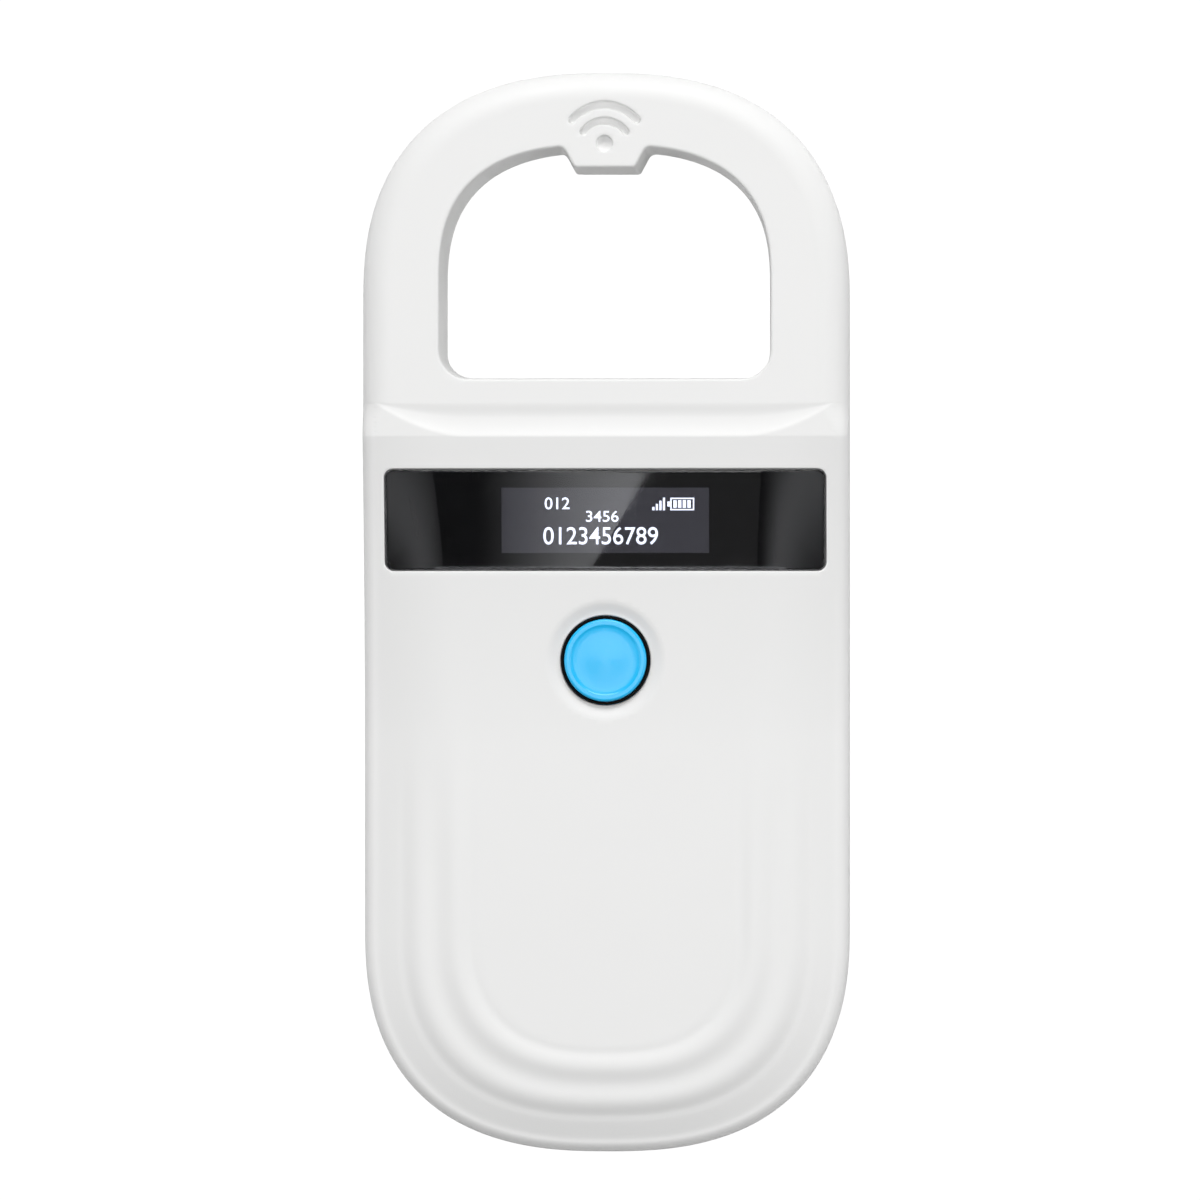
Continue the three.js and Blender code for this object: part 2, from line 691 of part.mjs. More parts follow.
function addButton() {
  const button = new THREE.Group();
  addPart(button, 'button_cap', buttonCap(), finishes.blueButton);
  addPart(button, 'button_ring', buttonRing(), finishes.blackRubber);
  const place = [0, BUTTON.y];
  const [low, high] = [BOARD.high, BOARD.high + 3.4];
  addPart(button, 'switch_plunger', postGeometry(1.6, place, [low + 0.7, SWITCH_TOP]),
    finishes.blackPlastic);
  const bore = post(1.75, place, [low + 0.1, 20]);
  const base = block([-3, 3], [BUTTON.y - 3, BUTTON.y + 3], [low, high]).subtract(bore);
  const cover = block([-3, 3], [BUTTON.y - 3, BUTTON.y + 3], [high, high + 0.25]);
  addPart(button, 'switch_base', base, finishes.blackPlastic);
  addPart(button, 'switch_cover', cover.subtract(bore), finishes.steel);
  scanner.add(button);
}

function addBoard() {
  const board = new THREE.Group();
  const top = BOARD.high;
  addPart(board, 'main_board', mainBoard(), finishes.board);
  BOARD_SCREWS.forEach((place, i) => {
    addPart(board, `board_screw_${i + 1}`, boardScrew(place), finishes.steel);
  });
  addPart(board, 'usb_shell', usbShell(), finishes.steel);
  addPart(board, 'buzzer', postGeometry(4.6, [12.5, -9.5], [top, top + 3.2]), finishes.blackPlastic);
  addBlocks(board, [
    ['usb_tongue', [-2.8, 2.8], [USB.endY + 0.6, USB.backY - USB.wall], [9.9, 10.5],
      finishes.blackPlastic],
    ['controller_chip', [-3.5, 3.5], [-29, -22], [top, top + 1], finishes.blackPlastic],
    ['reader_chip', [-17.5, -10.5], [-4.5, 1.5], [top, top + 1.5], finishes.blackPlastic],
    ['memory_chip', [6, 11], [-29, -25], [top, top + 1], finishes.blackPlastic],
    ['charge_chip', [5, 8], [-51.5, -48.5], [top, top + 1], finishes.blackPlastic],
    ['crystal', [-11.5, -6.5], [-27, -25], [top, top + 1.3], finishes.steel],
    ['power_inductor', [-9, -4], [-53.5, -48.5], [top, top + 2], finishes.blackPlastic],
    ['radio_board', [-7, 7], [-44, -33], [top, top + 0.8], finishes.board],
    ['radio_shield', [-6, 6], [-43.5, -35.5], [top + 0.8, top + 2.4], finishes.steel],
    ['tuning_capacitor_1', [-19.5, -16.5], [3.4, 5], [top, top + 1.2], finishes.amberFilm],
    ['tuning_capacitor_2', [-14.5, -11.5], [2.6, 4.2], [top, top + 1.2], finishes.amberFilm],
    ['tuning_capacitor_3', [-19, -16], [-8, -6.4], [top, top + 1.2], finishes.amberFilm],
  ]);
  scanner.add(board);
}

const COIL_PLUG = { x: [16.2, 20.2], z: [8.4, 11] };

function addAntenna() {
  const antenna = new THREE.Group();
  addPart(antenna, 'antenna_coil', antennaCoil(), finishes.copper);
  addPart(antenna, 'coil_former', coilFormer(), finishes.blackPlastic);
  addBlocks(antenna, [
    ['coil_header', COIL_PLUG.x, [9.5, 13.3], COIL_PLUG.z, finishes.whitePlastic],
    ['coil_plug', [16.6, 19.8], [13.4, 16.8], [8.8, 10.6], finishes.whitePlastic],
  ]);
  [17.4, 19].forEach((x, i) => {
    const route = [[x, 22.3, 7.4 + i], [x, 21, 8.6], [x, 18.6, 9.9], [x, 17, 9.7]];
    addPart(antenna, `coil_lead_${i + 1}`, wire(route), finishes.copper);
  });
  scanner.add(antenna);
}

function addBattery() {
  const power = new THREE.Group();
  addPart(power, 'battery', batteryPouch(), finishes.pouchFoil);
  addBlocks(power, [
    ['battery_tape', [-9, 9], [-46, -18], [WALL, 2.18], finishes.blackTape],
    ['battery_header', [-18.5, -13.5], [-4, 0], [4.3, BOARD.low], finishes.whitePlastic],
    ['battery_plug', [-18, -14], [-8, -4.1], [4.6, 6.8], finishes.whitePlastic],
  ]);
  const leads = [
    ['battery_lead_red', [-10, -16.9], -10.9, finishes.redWire],
    ['battery_lead_black', [-8, -15.1], -9.7, finishes.blackWire],
  ];
  leads.forEach(([name, [fromX, toX], bendY, material]) => {
    const route = [
      [fromX, -11.7, 4.2],
      [fromX - 1.2, bendY, 4.5],
      [toX + 1.4, bendY + 0.3, 5.4],
      [toX, -8.3, 5.7],
    ];
    addPart(power, name, wire(route, 0.35), material);
  });
  scanner.add(power);
}

addCasing();
addDisplay();
addButton();
addBoard();
addAntenna();
addBattery();

export default scanner;
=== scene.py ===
import json
import math

import bmesh
import bpy
from mathutils import Matrix, Vector


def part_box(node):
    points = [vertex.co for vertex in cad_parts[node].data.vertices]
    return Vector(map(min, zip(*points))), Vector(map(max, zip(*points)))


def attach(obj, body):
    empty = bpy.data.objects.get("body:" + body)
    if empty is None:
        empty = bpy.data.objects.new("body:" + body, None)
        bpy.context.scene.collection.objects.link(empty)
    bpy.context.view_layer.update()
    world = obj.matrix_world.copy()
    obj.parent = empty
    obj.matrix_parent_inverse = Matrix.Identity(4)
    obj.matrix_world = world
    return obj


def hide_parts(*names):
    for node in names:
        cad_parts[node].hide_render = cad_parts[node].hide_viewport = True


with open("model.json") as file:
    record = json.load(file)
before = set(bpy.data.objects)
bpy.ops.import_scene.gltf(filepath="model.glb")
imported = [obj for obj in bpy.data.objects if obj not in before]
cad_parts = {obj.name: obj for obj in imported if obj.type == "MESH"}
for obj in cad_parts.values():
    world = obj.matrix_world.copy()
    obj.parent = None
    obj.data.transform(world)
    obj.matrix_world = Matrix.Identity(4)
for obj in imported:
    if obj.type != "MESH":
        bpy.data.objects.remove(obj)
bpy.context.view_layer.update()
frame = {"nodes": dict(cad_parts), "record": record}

# Shapes are worked out in millimetres and scaled to metres when a piece is finished.
MM = 0.001
TAU = 2 * math.pi


def box_mm(node):
    low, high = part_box(node)
    return low / MM, high / MM


# ------------------------------------------------------------ sizes taken from the frame

BACK_LOW, BACK_HIGH = box_mm("back_shell")
FRONT_LOW, FRONT_HIGH = box_mm("front_shell")
LENS_LOW, LENS_HIGH = box_mm("display_window")
CAP_LOW, CAP_HIGH = box_mm("button_cap")
RING_LOW, RING_HIGH = box_mm("button_ring")
PORT_LOW, PORT_HIGH = box_mm("usb_shell")

HALF_WIDTH = BACK_HIGH.x
HALF_LENGTH = BACK_HIGH.y
PARTING_Z = BACK_HIGH.z
CREST_Z = FRONT_HIGH.z
LOOP_FACE_Z = CREST_Z - 0.4
GRIP_Z = CREST_Z - 3.0

LOOP_END = {"rise": 27.2, "power": 2.46, "side": 1}
GRIP_END = {"rise": 27.0, "power": 2.53, "side": -1}
LOOP_CENTRE_Y = HALF_LENGTH - LOOP_END["rise"]
GRIP_CENTRE_Y = GRIP_END["rise"] - HALF_LENGTH

RISE = {"from_y": -15.0, "to_y": 21.1, "power": 1.7}
CROWN = {"grip": 2.0, "crest": CREST_Z - LOOP_FACE_Z, "start": 1.6, "run": 9.4}
SCOOP = {"y": 25.1, "width": 4.0, "power": 3.0, "dip": 0.25, "dip_run": 0.45, "start": 1.8,
         "run": 11.0}
CREST_SOFTNESS = 0.1

RIDGE_HEIGHT = 0.17
RIDGE_INSET = 6.4
RIDGE_PITCH = 4.8
RIDGE_START = 4.0
RIDGE_END = 13.6
RIDGE_FADE = (-8, -38)

LOOP_EDGE = (3.3, 3.0)
GRIP_EDGE = (1.5, 1.7)
BACK_EDGE = 3.0
WALL = 1.9
ROOF = 2.3
SEAM = 0.05

HOLE = {"half": 19.8, "arch_y": 39.15, "rise": 16.6, "power": 2.68, "bottom": 27.9, "corner": 3.5}
HOLE_DRAFT = 0.36
HOLE_EDGE = 0.3
HOLE_WALL = 1.6
TAB = {"root": 6.7, "neck": 4.95, "neck_y": 55.6, "half": 3.6, "bottom": 53.1, "spread": 0.6}

EMBLEM_Y = 55.55
EMBLEM_DEPTH = 0.9
EMBLEM_DOT = (1.0, 55.95)
EMBLEM_ARCS = ((3.1, 0.45, 54), (5.0, 0.475, 50))

WINDOW_Y = (LENS_LOW.y + LENS_HIGH.y) / 2
WINDOW_HALF = (LENS_HIGH.x, (LENS_HIGH.y - LENS_LOW.y) / 2)
WINDOW_CORNER = 1.0
WINDOW_GAP = 0.09
LENS_THICKNESS = 1.1
RECESS_DEPTH = 1.45

BUTTON_Y = (CAP_LOW.y + CAP_HIGH.y) / 2
BUTTON_TOP = CAP_HIGH.z
RING_RADIUS = RING_HIGH.x
CAP_RADIUS = RING_RADIUS - 0.38
DISH_RADIUS = 7.2
DISH_DEPTH = 0.42

CASE_SCREWS = ["case_screw_%d" % number for number in range(1, 5)]
BOARD_SCREWS = ["board_screw_%d" % number for number in range(1, 5)]
SCREW_HOLE_RADIUS = 2.05
BOSS_RADIUS = 2.6

DISPLAY_Z = box_mm("display_polarizer")[1].z
DISPLAY_WHITE = (0.78, 0.84, 1.0)


# ------------------------------------------------------------ surface of the casing

def clamp(value, low=0.0, high=1.0):
    return max(low, min(high, value))


def smooth(value):
    t = clamp(value)
    return t * t * (3 - 2 * t)


def lerp(a, b, t):
    return a + (b - a) * t


def superellipse(half, rise, power, angle):
    cosine, sine = math.cos(angle), math.sin(angle)
    x = half * math.copysign(abs(cosine) ** (2 / power), cosine)
    y = rise * math.copysign(abs(sine) ** (2 / power), sine)
    return x, y


def stations(end_steps, side_ys):
    """Points round the casing, anticlockwise from the right, as (x, y, y of the spine)."""
    points = []

    def add_end(end, centre, first):
        for i in range(end_steps + 1):
            angle = first + math.pi * i / end_steps
            x, y = superellipse(HALF_WIDTH, end["rise"], end["power"], angle)
            points.append((x, centre + y, centre))

    add_end(LOOP_END, LOOP_CENTRE_Y, 0)
    points.extend((-HALF_WIDTH, y, y) for y in side_ys)
    add_end(GRIP_END, GRIP_CENTRE_Y, math.pi)
    points.extend((HALF_WIDTH, y, y) for y in reversed(side_ys))
    return points


def inset(station, distance):
    x, y, spine = station
    share = 1 - distance / HALF_WIDTH
    return x * share, spine + (y - spine) * share


def quarter_wave(value):
    return math.sin(math.pi / 2 * clamp(value))


def body_height(y, distance):
    rise = clamp((y - RISE["from_y"]) / (RISE["to_y"] - RISE["from_y"])) ** RISE["power"]
    crown = lerp(CROWN["grip"], CROWN["crest"], rise)
    fall = 1 - quarter_wave((distance - CROWN["start"]) / CROWN["run"])
    return lerp(GRIP_Z, CREST_Z, rise) - crown * fall


def scoop_height(y, distance):
    """The groove between the loop's face and the crest, narrower towards the sides."""
    spread = quarter_wave((distance - SCOOP["start"]) / SCOOP["run"]) ** 0.85
    width = max(0.01, SCOOP["width"] * spread)
    across = max(0.0, SCOOP["y"] - y) / width
    climb = body_height(SCOOP["y"] - width, distance) - LOOP_FACE_Z
    dip = SCOOP["dip"] * spread
    fall = dip * smooth(across / SCOOP["dip_run"])
    return LOOP_FACE_Z - fall + (climb + dip) * across ** SCOOP["power"]


def ridge(y, distance):
    if not RIDGE_START < distance < RIDGE_END:
        return 0
    fade = smooth((y - RIDGE_FADE[0]) / (RIDGE_FADE[1] - RIDGE_FADE[0]))
    wave = math.cos(TAU * (distance - RIDGE_INSET) / RIDGE_PITCH)
    ends = smooth((distance - RIDGE_START) / 1.2) * smooth((RIDGE_END - distance) / 1.2)
    return RIDGE_HEIGHT * fade * wave * ends


def soft_lower(a, b, softness):
    """The lower of two heights, with the edge between them rounded."""
    overlap = max(0.0, softness - abs(a - b))
    return min(a, b) - overlap * overlap / (4 * softness)


def face_height(y, distance):
    body = body_height(y, distance) + ridge(y, distance)
    if y >= SCOOP["y"]:
        return LOOP_FACE_Z
    if y < RISE["to_y"] - 4:
        return body
    return soft_lower(body, scoop_height(y, distance), CREST_SOFTNESS)


def surface_height(x, y):
    return face_height(y, HALF_WIDTH - abs(x))


def edge_size(y):
    grip = smooth((SCOOP["y"] - y) / 4)
    return lerp(LOOP_EDGE[0], GRIP_EDGE[0], grip), lerp(LOOP_EDGE[1], GRIP_EDGE[1], grip)


# ------------------------------------------------------------ mesh helpers

def loft(rings, cap_first=False, cap_last=False):
    """A skin drawn through closed rings by extruding a circle of edges from each to the next."""
    bm = bmesh.new()
    place = bm.verts.layers.int.new("place")
    bmesh.ops.create_circle(bm, segments=len(rings[0]), radius=1)
    bm.verts.ensure_lookup_table()
    for i, vert in enumerate(bm.verts):
        vert[place] = i
        vert.co = rings[0][i]
    edges = bm.edges[:]
    if cap_first:
        bmesh.ops.edgeloop_fill(bm, edges=edges)
    for ring in rings[1:]:
        grown = bmesh.ops.extrude_edge_only(bm, edges=edges)["geom"]
        edges = [part for part in grown if isinstance(part, bmesh.types.BMEdge)]
        for part in grown:
            if isinstance(part, bmesh.types.BMVert):
                part.co = ring[part[place]]
    if cap_last:
        bmesh.ops.edgeloop_fill(bm, edges=edges)
    bmesh.ops.remove_doubles(bm, verts=bm.verts, dist=1e-4)
    bmesh.ops.triangulate(bm, faces=bm.faces)
    bmesh.ops.recalc_face_normals(bm, faces=bm.faces)
    return bm


def prism(levels):
    """A solid between outlines at several heights: levels holds (z, outline)."""
    rings = [[(x, y, z) for x, y in outline] for z, outline in levels]
    return loft(rings, cap_first=True, cap_last=True)


def turned(profile, centre, steps=96):
    """A solid of revolution about a vertical axis, from a profile of (radius, z)."""
    bm = bmesh.new()
    verts = [bm.verts.new((radius, 0, z)) for radius, z in profile]
    edges = [bm.edges.new(pair) for pair in zip(verts, verts[1:])]
    bmesh.ops.spin(bm, geom=verts + edges, cent=(0, 0, 0), axis=(0, 0, 1), angle=TAU,
                   steps=steps, use_merge=True)
    bmesh.ops.remove_doubles(bm, verts=bm.verts, dist=1e-4)
    bmesh.ops.translate(bm, verts=bm.verts, vec=(centre[0], centre[1], 0))
    bmesh.ops.recalc_face_normals(bm, faces=bm.faces)
    return bm


def arc_profile(centre, radius, first, last, steps=6):
    """Points of (radius, z) on an arc between two angles in degrees."""
    points = []
    for i in range(steps + 1):
        angle = math.radians(lerp(first, last, i / steps))
        points.append((centre[0] + radius * math.cos(angle), centre[1] + radius * math.sin(angle)))
    return points


def block(low, high, bevel=0.0, segments=3):
    bm = bmesh.new()
    bmesh.ops.create_cube(bm, size=1)
    size = [b - a for a, b in zip(low, high)]
    bmesh.ops.scale(bm, vec=size, verts=bm.verts)
    bmesh.ops.translate(bm, vec=[(a + b) / 2 for a, b in zip(low, high)], verts=bm.verts)
    if bevel:
        bmesh.ops.bevel(bm, geom=bm.edges[:], offset=bevel, offset_type="OFFSET",
                        affect="EDGES", segments=segments, profile=0.5, material=-1)
    return bm


def post(radius, centre, low, high, steps=48):
    return turned([(0, low), (radius, low), (radius, high), (0, high)], centre, steps)


def join(parts):
    """One bmesh that holds several, freeing them."""
    whole = bmesh.new()
    for part in parts:
        mesh = bpy.data.meshes.new("joining")
        part.to_mesh(mesh)
        part.free()
        whole.from_mesh(mesh)
        bpy.data.meshes.remove(mesh)
    return whole


def solid(bm, name="solid"):
    mesh = bpy.data.meshes.new(name)
    bm.to_mesh(mesh)
    bm.free()
    obj = bpy.data.objects.new(name, mesh)
    bpy.context.scene.collection.objects.link(obj)
    return obj


def bake(obj):
    """Applies an object's modifiers to its mesh."""
    evaluated = obj.evaluated_get(bpy.context.evaluated_depsgraph_get())
    mesh = bpy.data.meshes.new_from_object(evaluated)
    old = obj.data
    obj.modifiers.clear()
    obj.data = mesh
    bpy.data.meshes.remove(old)


def discard(obj):
    mesh = obj.data
    bpy.data.objects.remove(obj)
    bpy.data.meshes.remove(mesh)


def combine(target, others, operation="DIFFERENCE"):
    """Cuts others from target, or joins them to it."""
    for other in others:
        modifier = target.modifiers.new("combine", "BOOLEAN")
        modifier.operation = operation
        modifier.solver = "MANIFOLD"
        modifier.object = other
    bake(target)
    for other in others:
        discard(other)
    return target


def finish_piece(obj, name, material, body="root", stands_for=(), angle=35):
    """Scales a piece to metres, shades it, and hangs it on its body."""
    obj.name = name
    obj.data.name = name
    obj.data.transform(Matrix.Scale(MM, 4))
    obj.data.polygons.foreach_set("use_smooth", [True] * len(obj.data.polygons))
    obj.data.set_sharp_from_angle(angle=math.radians(angle))
    obj.data.materials.clear()
    obj.data.materials.append(material)
    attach(obj, body)
    if stands_for:
        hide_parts(*stands_for)
    return obj


# ------------------------------------------------------------ outlines

def round_corners(points, radii, steps=6):
    """An open chain whose corners are replaced by arcs of the radii given for each."""
    rounded = [points[0]]
    for i in range(1, len(points) - 1):
        corner = Vector(points[i])
        back = (Vector(points[i - 1]) - corner).normalized()
        ahead = (Vector(points[i + 1]) - corner).normalized()
        half_angle = back.angle(ahead) / 2
        reach = radii[i - 1] / math.tan(half_angle)
        centre = corner + (back + ahead).normalized() * radii[i - 1] / math.sin(half_angle)
        first = corner + back * reach - centre
        last = corner + ahead * reach - centre
        for step in range(steps + 1):
            arm = first.slerp(last, step / steps) if first.angle(last) > 1e-6 else first
            rounded.append(tuple(centre + arm.normalized() * radii[i - 1]))
    rounded.append(points[-1])
    return rounded


def hole_outline(grow, with_tab=True, arch_steps=40):
    half, rise = HOLE["half"] + grow, HOLE["rise"] + grow
    radius = HOLE["corner"] + grow
    bottom = HOLE["bottom"] - grow
    right = []
    for i in range(13):
        angle = math.radians(lerp(-90, 0, i / 12))
        right.append((half - radius + radius * math.cos(angle),
                      bottom + radius + radius * math.sin(angle)))
    last_x = TAB["root"] if with_tab else 0
    last_angle = math.acos((last_x / half) ** (HOLE["power"] / 2))
    for i in range(arch_steps + 1):
        x, y = superellipse(half, rise, HOLE["power"], last_angle * i / arch_steps)
        right.append((x, HOLE["arch_y"] + y))
    if with_tab:
        chain = [
            right[-1],
            (TAB["neck"] - TAB["spread"] * grow, TAB["neck_y"] + grow),
            (TAB["half"] - TAB["spread"] * grow, TAB["bottom"] + grow),
            (0.5, TAB["bottom"] + grow),
        ]
        right.extend(round_corners(chain, [1.0, 0.55])[1:])
    left = [(-x, y) for x, y in reversed(right) if x > 1e-3]
    return right + left


def rectangle_outline(half_x, half_y, radius, side_steps=60, corner_steps=6):
    """A rounded rectangle about the middle, with extra points along its long sides."""
    points = []
    for i in range(side_steps):
        points.append((lerp(half_x - radius, radius - half_x, i / side_steps), half_y))
    for i in range(corner_steps + 1):
        angle = math.radians(lerp(90, 180, i / corner_steps))
        points.append((radius - half_x + radius * math.cos(angle),
                       half_y - radius + radius * math.sin(angle)))
    mirrored = [(x, -y) for x, y in reversed(points)]
    half = points + mirrored
    right_side = [(-x, y) for x, y in reversed(half) if x < radius - half_x - 1e-6]
    return half + right_side


def circle_outline(radius, steps=128):
    return [(radius * math.cos(TAU * i / steps), radius * math.sin(TAU * i / steps))
            for i in range(steps)]


def follow(rows, centre_y):
    """A cutter that keeps to depths below the surface: rows holds (outline, depth or None).

    A row with no depth lies flat, above the casing for the first and below it for the last."""
    rings = []
    for outline, depth, flat_z in rows:
        ring = []
        for x, y in outline:
            z = surface_height(x, y + centre_y) - depth if flat_z is None else flat_z
            ring.append((x, y + centre_y, z))
        rings.append(ring)
    return loft(rings, cap_first=True, cap_last=True)


# ------------------------------------------------------------ front shell

def side_ys():
    """Places down the straight sides, close together across the scoop."""
    ys = [LOOP_CENTRE_Y - 1.4 * i for i in range(1, 9)]
    ys += [lerp(SCOOP["y"] + 0.15, SCOOP["y"], i / 3) for i in range(4)]
    ys += [lerp(SCOOP["y"], RISE["to_y"] - 1, i / 56) for i in range(1, 57)]
    ys += [lerp(RISE["to_y"] - 1.4, GRIP_CENTRE_Y + 0.5, i / 96) for i in range(97)]
    return ys


def front_rings(points):
    flat = [(HALF_WIDTH, PARTING_Z), (SEAM + 0.1, PARTING_Z), (0.04, PARTING_Z + SEAM),
            (0, PARTING_Z + 0.3)]
    rings = []
    for distance, z in flat:
        rings.append([(*inset(point, distance), z) for point in points])
    edge_steps = 12
    for i in range(edge_steps):
        turn = math.pi / 2 * i / edge_steps
        ring = []
        for point in points:
            width, drop = edge_size(point[1])
            distance = width * (1 - math.cos(turn))
            x, y = inset(point, distance)
            ring.append((x, y, face_height(y, distance) - drop * (1 - math.sin(turn))))
        rings.append(ring)
    face_steps = 72
    for i in range(face_steps + 1):
        ring = []
        for point in points:
            distance = lerp(edge_size(point[1])[0], HALF_WIDTH, i / face_steps)
            x, y = inset(point, distance)
            ring.append((x, y, face_height(y, distance)))
        rings.append(ring)
    return rings


def loop_wall(low, high):
    outline = hole_outline(HOLE_WALL, with_tab=False)
    return solid(prism([(low, outline), (high, outline)]))


def front_cavity():
    points = stations(40, [20.05, 20, 14, 8, 2, -6, -14, -24])
    rings = []
    for distance, z in ((HALF_WIDTH, PARTING_Z - 1), (WALL, PARTING_Z - 1)):
        rings.append([(*inset(point, distance), z) for point in points])
    for distance in (WALL, 3, 4, 6, 8, 10, 12, HALF_WIDTH):
        ring = []
        for point in points:
            x, y = inset(point, distance)
            z = LOOP_FACE_Z if y > 20.01 else body_height(y, distance)
            ring.append((x, y, z - ROOF))
        rings.append(ring)
    return combine(solid(loft(rings)), [loop_wall(-1, 20)])


def hole_cutter(face_z):
    """Cutter for one shell: narrow where the shells meet, with a rounded edge at the face."""
    side = math.copysign(1, face_z - PARTING_Z)
    rows = [(PARTING_Z - side, -HOLE_DRAFT), (PARTING_Z, SEAM - HOLE_DRAFT),
            (PARTING_Z + side * SEAM, 0.02 - HOLE_DRAFT)]
    for i in range(7):
        turn = math.pi / 2 * i / 6
        rows.append((face_z - side * HOLE_EDGE * (1 - math.sin(turn)),
                     HOLE_EDGE * (1 - math.cos(turn))))
    rows.append((face_z + side, HOLE_EDGE))
    rows.sort()
    return solid(prism([(z, hole_outline(grow)) for z, grow in rows]))


def arc_band(radius, half_width, half_span, grow, steps=40):
    """Outline of a round-ended band that follows an arc above the emblem's centre."""
    half = math.radians(half_span)
    width = half_width + grow
    points = []
    for i in range(steps + 1):
        angle = math.pi / 2 - half + 2 * half * i / steps
        points.append(((radius + width) * math.cos(angle), (radius + width) * math.sin(angle)))
    for end, first in ((math.pi / 2 + half, 0), (math.pi / 2 - half, math.pi)):
        cap = []
        for i in range(1, 12):
            angle = end + first + math.pi * i / 12
            cap.append((radius * math.cos(end) + width * math.cos(angle),
                        radius * math.sin(end) + width * math.sin(angle)))
        points.extend(cap)
        if first == 0:
            for i in range(steps + 1):
                angle = math.pi / 2 + half - 2 * half * i / steps
                points.append(((radius - width) * math.cos(angle),
                               (radius - width) * math.sin(angle)))
    return [(x, y + EMBLEM_Y) for x, y in points]


def emblem_cutters():
    low = LOOP_FACE_Z - EMBLEM_DEPTH
    rows = [(low, -0.2), (low + 0.04, -0.1), (low + 0.14, -0.02), (low + 0.24, 0),
            (LOOP_FACE_Z - 0.14, 0), (LOOP_FACE_Z - 0.04, 0.04), (LOOP_FACE_Z, 0.14),
            (LOOP_FACE_Z + 1, 0.14)]
    cutters = []
    for radius, half_width, half_span in EMBLEM_ARCS:
        cutters.append(solid(prism([(z, arc_band(radius, half_width, half_span, grow))
                                    for z, grow in rows])))
    dot_radius, dot_y = EMBLEM_DOT
    dot_rows = [(z, [(x, y + dot_y) for x, y in circle_outline(dot_radius + grow, 48)])
                for z, grow in rows]
    cutters.append(solid(prism(dot_rows)))
    return cutters


def window_outline(grow):
    half_x, half_y = WINDOW_HALF
    return rectangle_outline(half_x + grow, half_y + grow, WINDOW_CORNER + grow)


def window_recess():
    gap = WINDOW_GAP
    rows = [
        (window_outline(gap + 0.2), None, 22), (window_outline(gap + 0.2), -0.03, None),
        (window_outline(gap + 0.09), 0.02, None), (window_outline(gap + 0.02), 0.1, None),
        (window_outline(gap), 0.24, None), (window_outline(gap), RECESS_DEPTH, None),
        (window_outline(gap - 1), RECESS_DEPTH, None),
    ]
    rings = [[(x, y + WINDOW_Y, flat if flat else lens_height(x, y + WINDOW_Y) - depth)
              for x, y in outline] for outline, depth, flat in rows]
    return solid(loft(rings + close_along(rings[-1], RECESS_DEPTH), cap_first=True))


def lens_height(x, y):
    return body_height(y, HALF_WIDTH - abs(x))


def close_along(ring, depth):
    """Rings that draw an outline of the window together on its long centre line."""
    reach = WINDOW_HALF[0] - WINDOW_HALF[1]
    closed = []
    for share in (0.97, 0.93, 0.87, 0.8, 0.7, 0.6, 0.5, 0.4, 0.3, 0.2, 0.1, 0):
        drawn = []
        for x, y, _ in ring:
            middle = clamp(x, -reach, reach)
            near_x = middle + (x - middle) * share
            near_y = WINDOW_Y + (y - WINDOW_Y) * share
            drawn.append((near_x, near_y, lens_height(near_x, near_y) - depth))
        closed.append(drawn)
    return closed


def button_well():
    """The shallow dish round the button, its rounded lip, and the hole below."""
    hole = RING_RADIUS + 0.08
    rows = [(circle_outline(DISH_RADIUS + 0.3), None, 22),
            (circle_outline(DISH_RADIUS + 0.3), -0.05, None)]
    for i in range(9):
        across = i / 8
        radius = lerp(DISH_RADIUS, hole + 0.1, across)
        rows.append((circle_outline(radius), DISH_DEPTH * smooth(across), None))
    rows += [(circle_outline(hole), DISH_DEPTH + 0.1, None), (circle_outline(hole), None, 12)]
    return solid(follow(rows, BUTTON_Y))


def port_cutter():
    grow = 0.4
    low = Vector((PORT_LOW.x - grow, -HALF_LENGTH - 1, PARTING_Z - 1))
    high = Vector((PORT_HIGH.x + grow, PORT_HIGH.y, PORT_HIGH.z + grow))
    return solid(block(low, high, bevel=0.5))


def sight_cutter():
    low, high = box_mm("display_polarizer")
    margin = 0.4
    return solid(block((low.x - margin, low.y - 0.3, 12), (high.x + margin, high.y + 0.3, 22)))


def panel_pocket():
    low, high = box_mm("display_panel")
    return solid(block((low.x - 2.8, low.y - 0.4, 12), (high.x + 0.4, high.y + 0.4, high.z + 0.15)))


def screw_centre(node):
    low, high = box_mm(node)
    return (low.x + high.x) / 2, (low.y + high.y) / 2


def make_front_shell():
    shell = solid(loft(front_rings(stations(110, side_ys()))))
    centres = [screw_centre(node) for node in CASE_SCREWS]
    cavity = front_cavity()
    combine(cavity, [solid(post(BOSS_RADIUS, centre, PARTING_Z - 2, 20, 32)) for centre in centres])
    cutters = [cavity, hole_cutter(LOOP_FACE_Z), window_recess(), button_well(), port_cutter(),
               sight_cutter(), panel_pocket()]
    cutters += emblem_cutters()
    cutters += [solid(post(1.15, centre, PARTING_Z - 2, 12.5, 24)) for centre in centres]
    return combine(shell, cutters)


# ------------------------------------------------------------ back shell

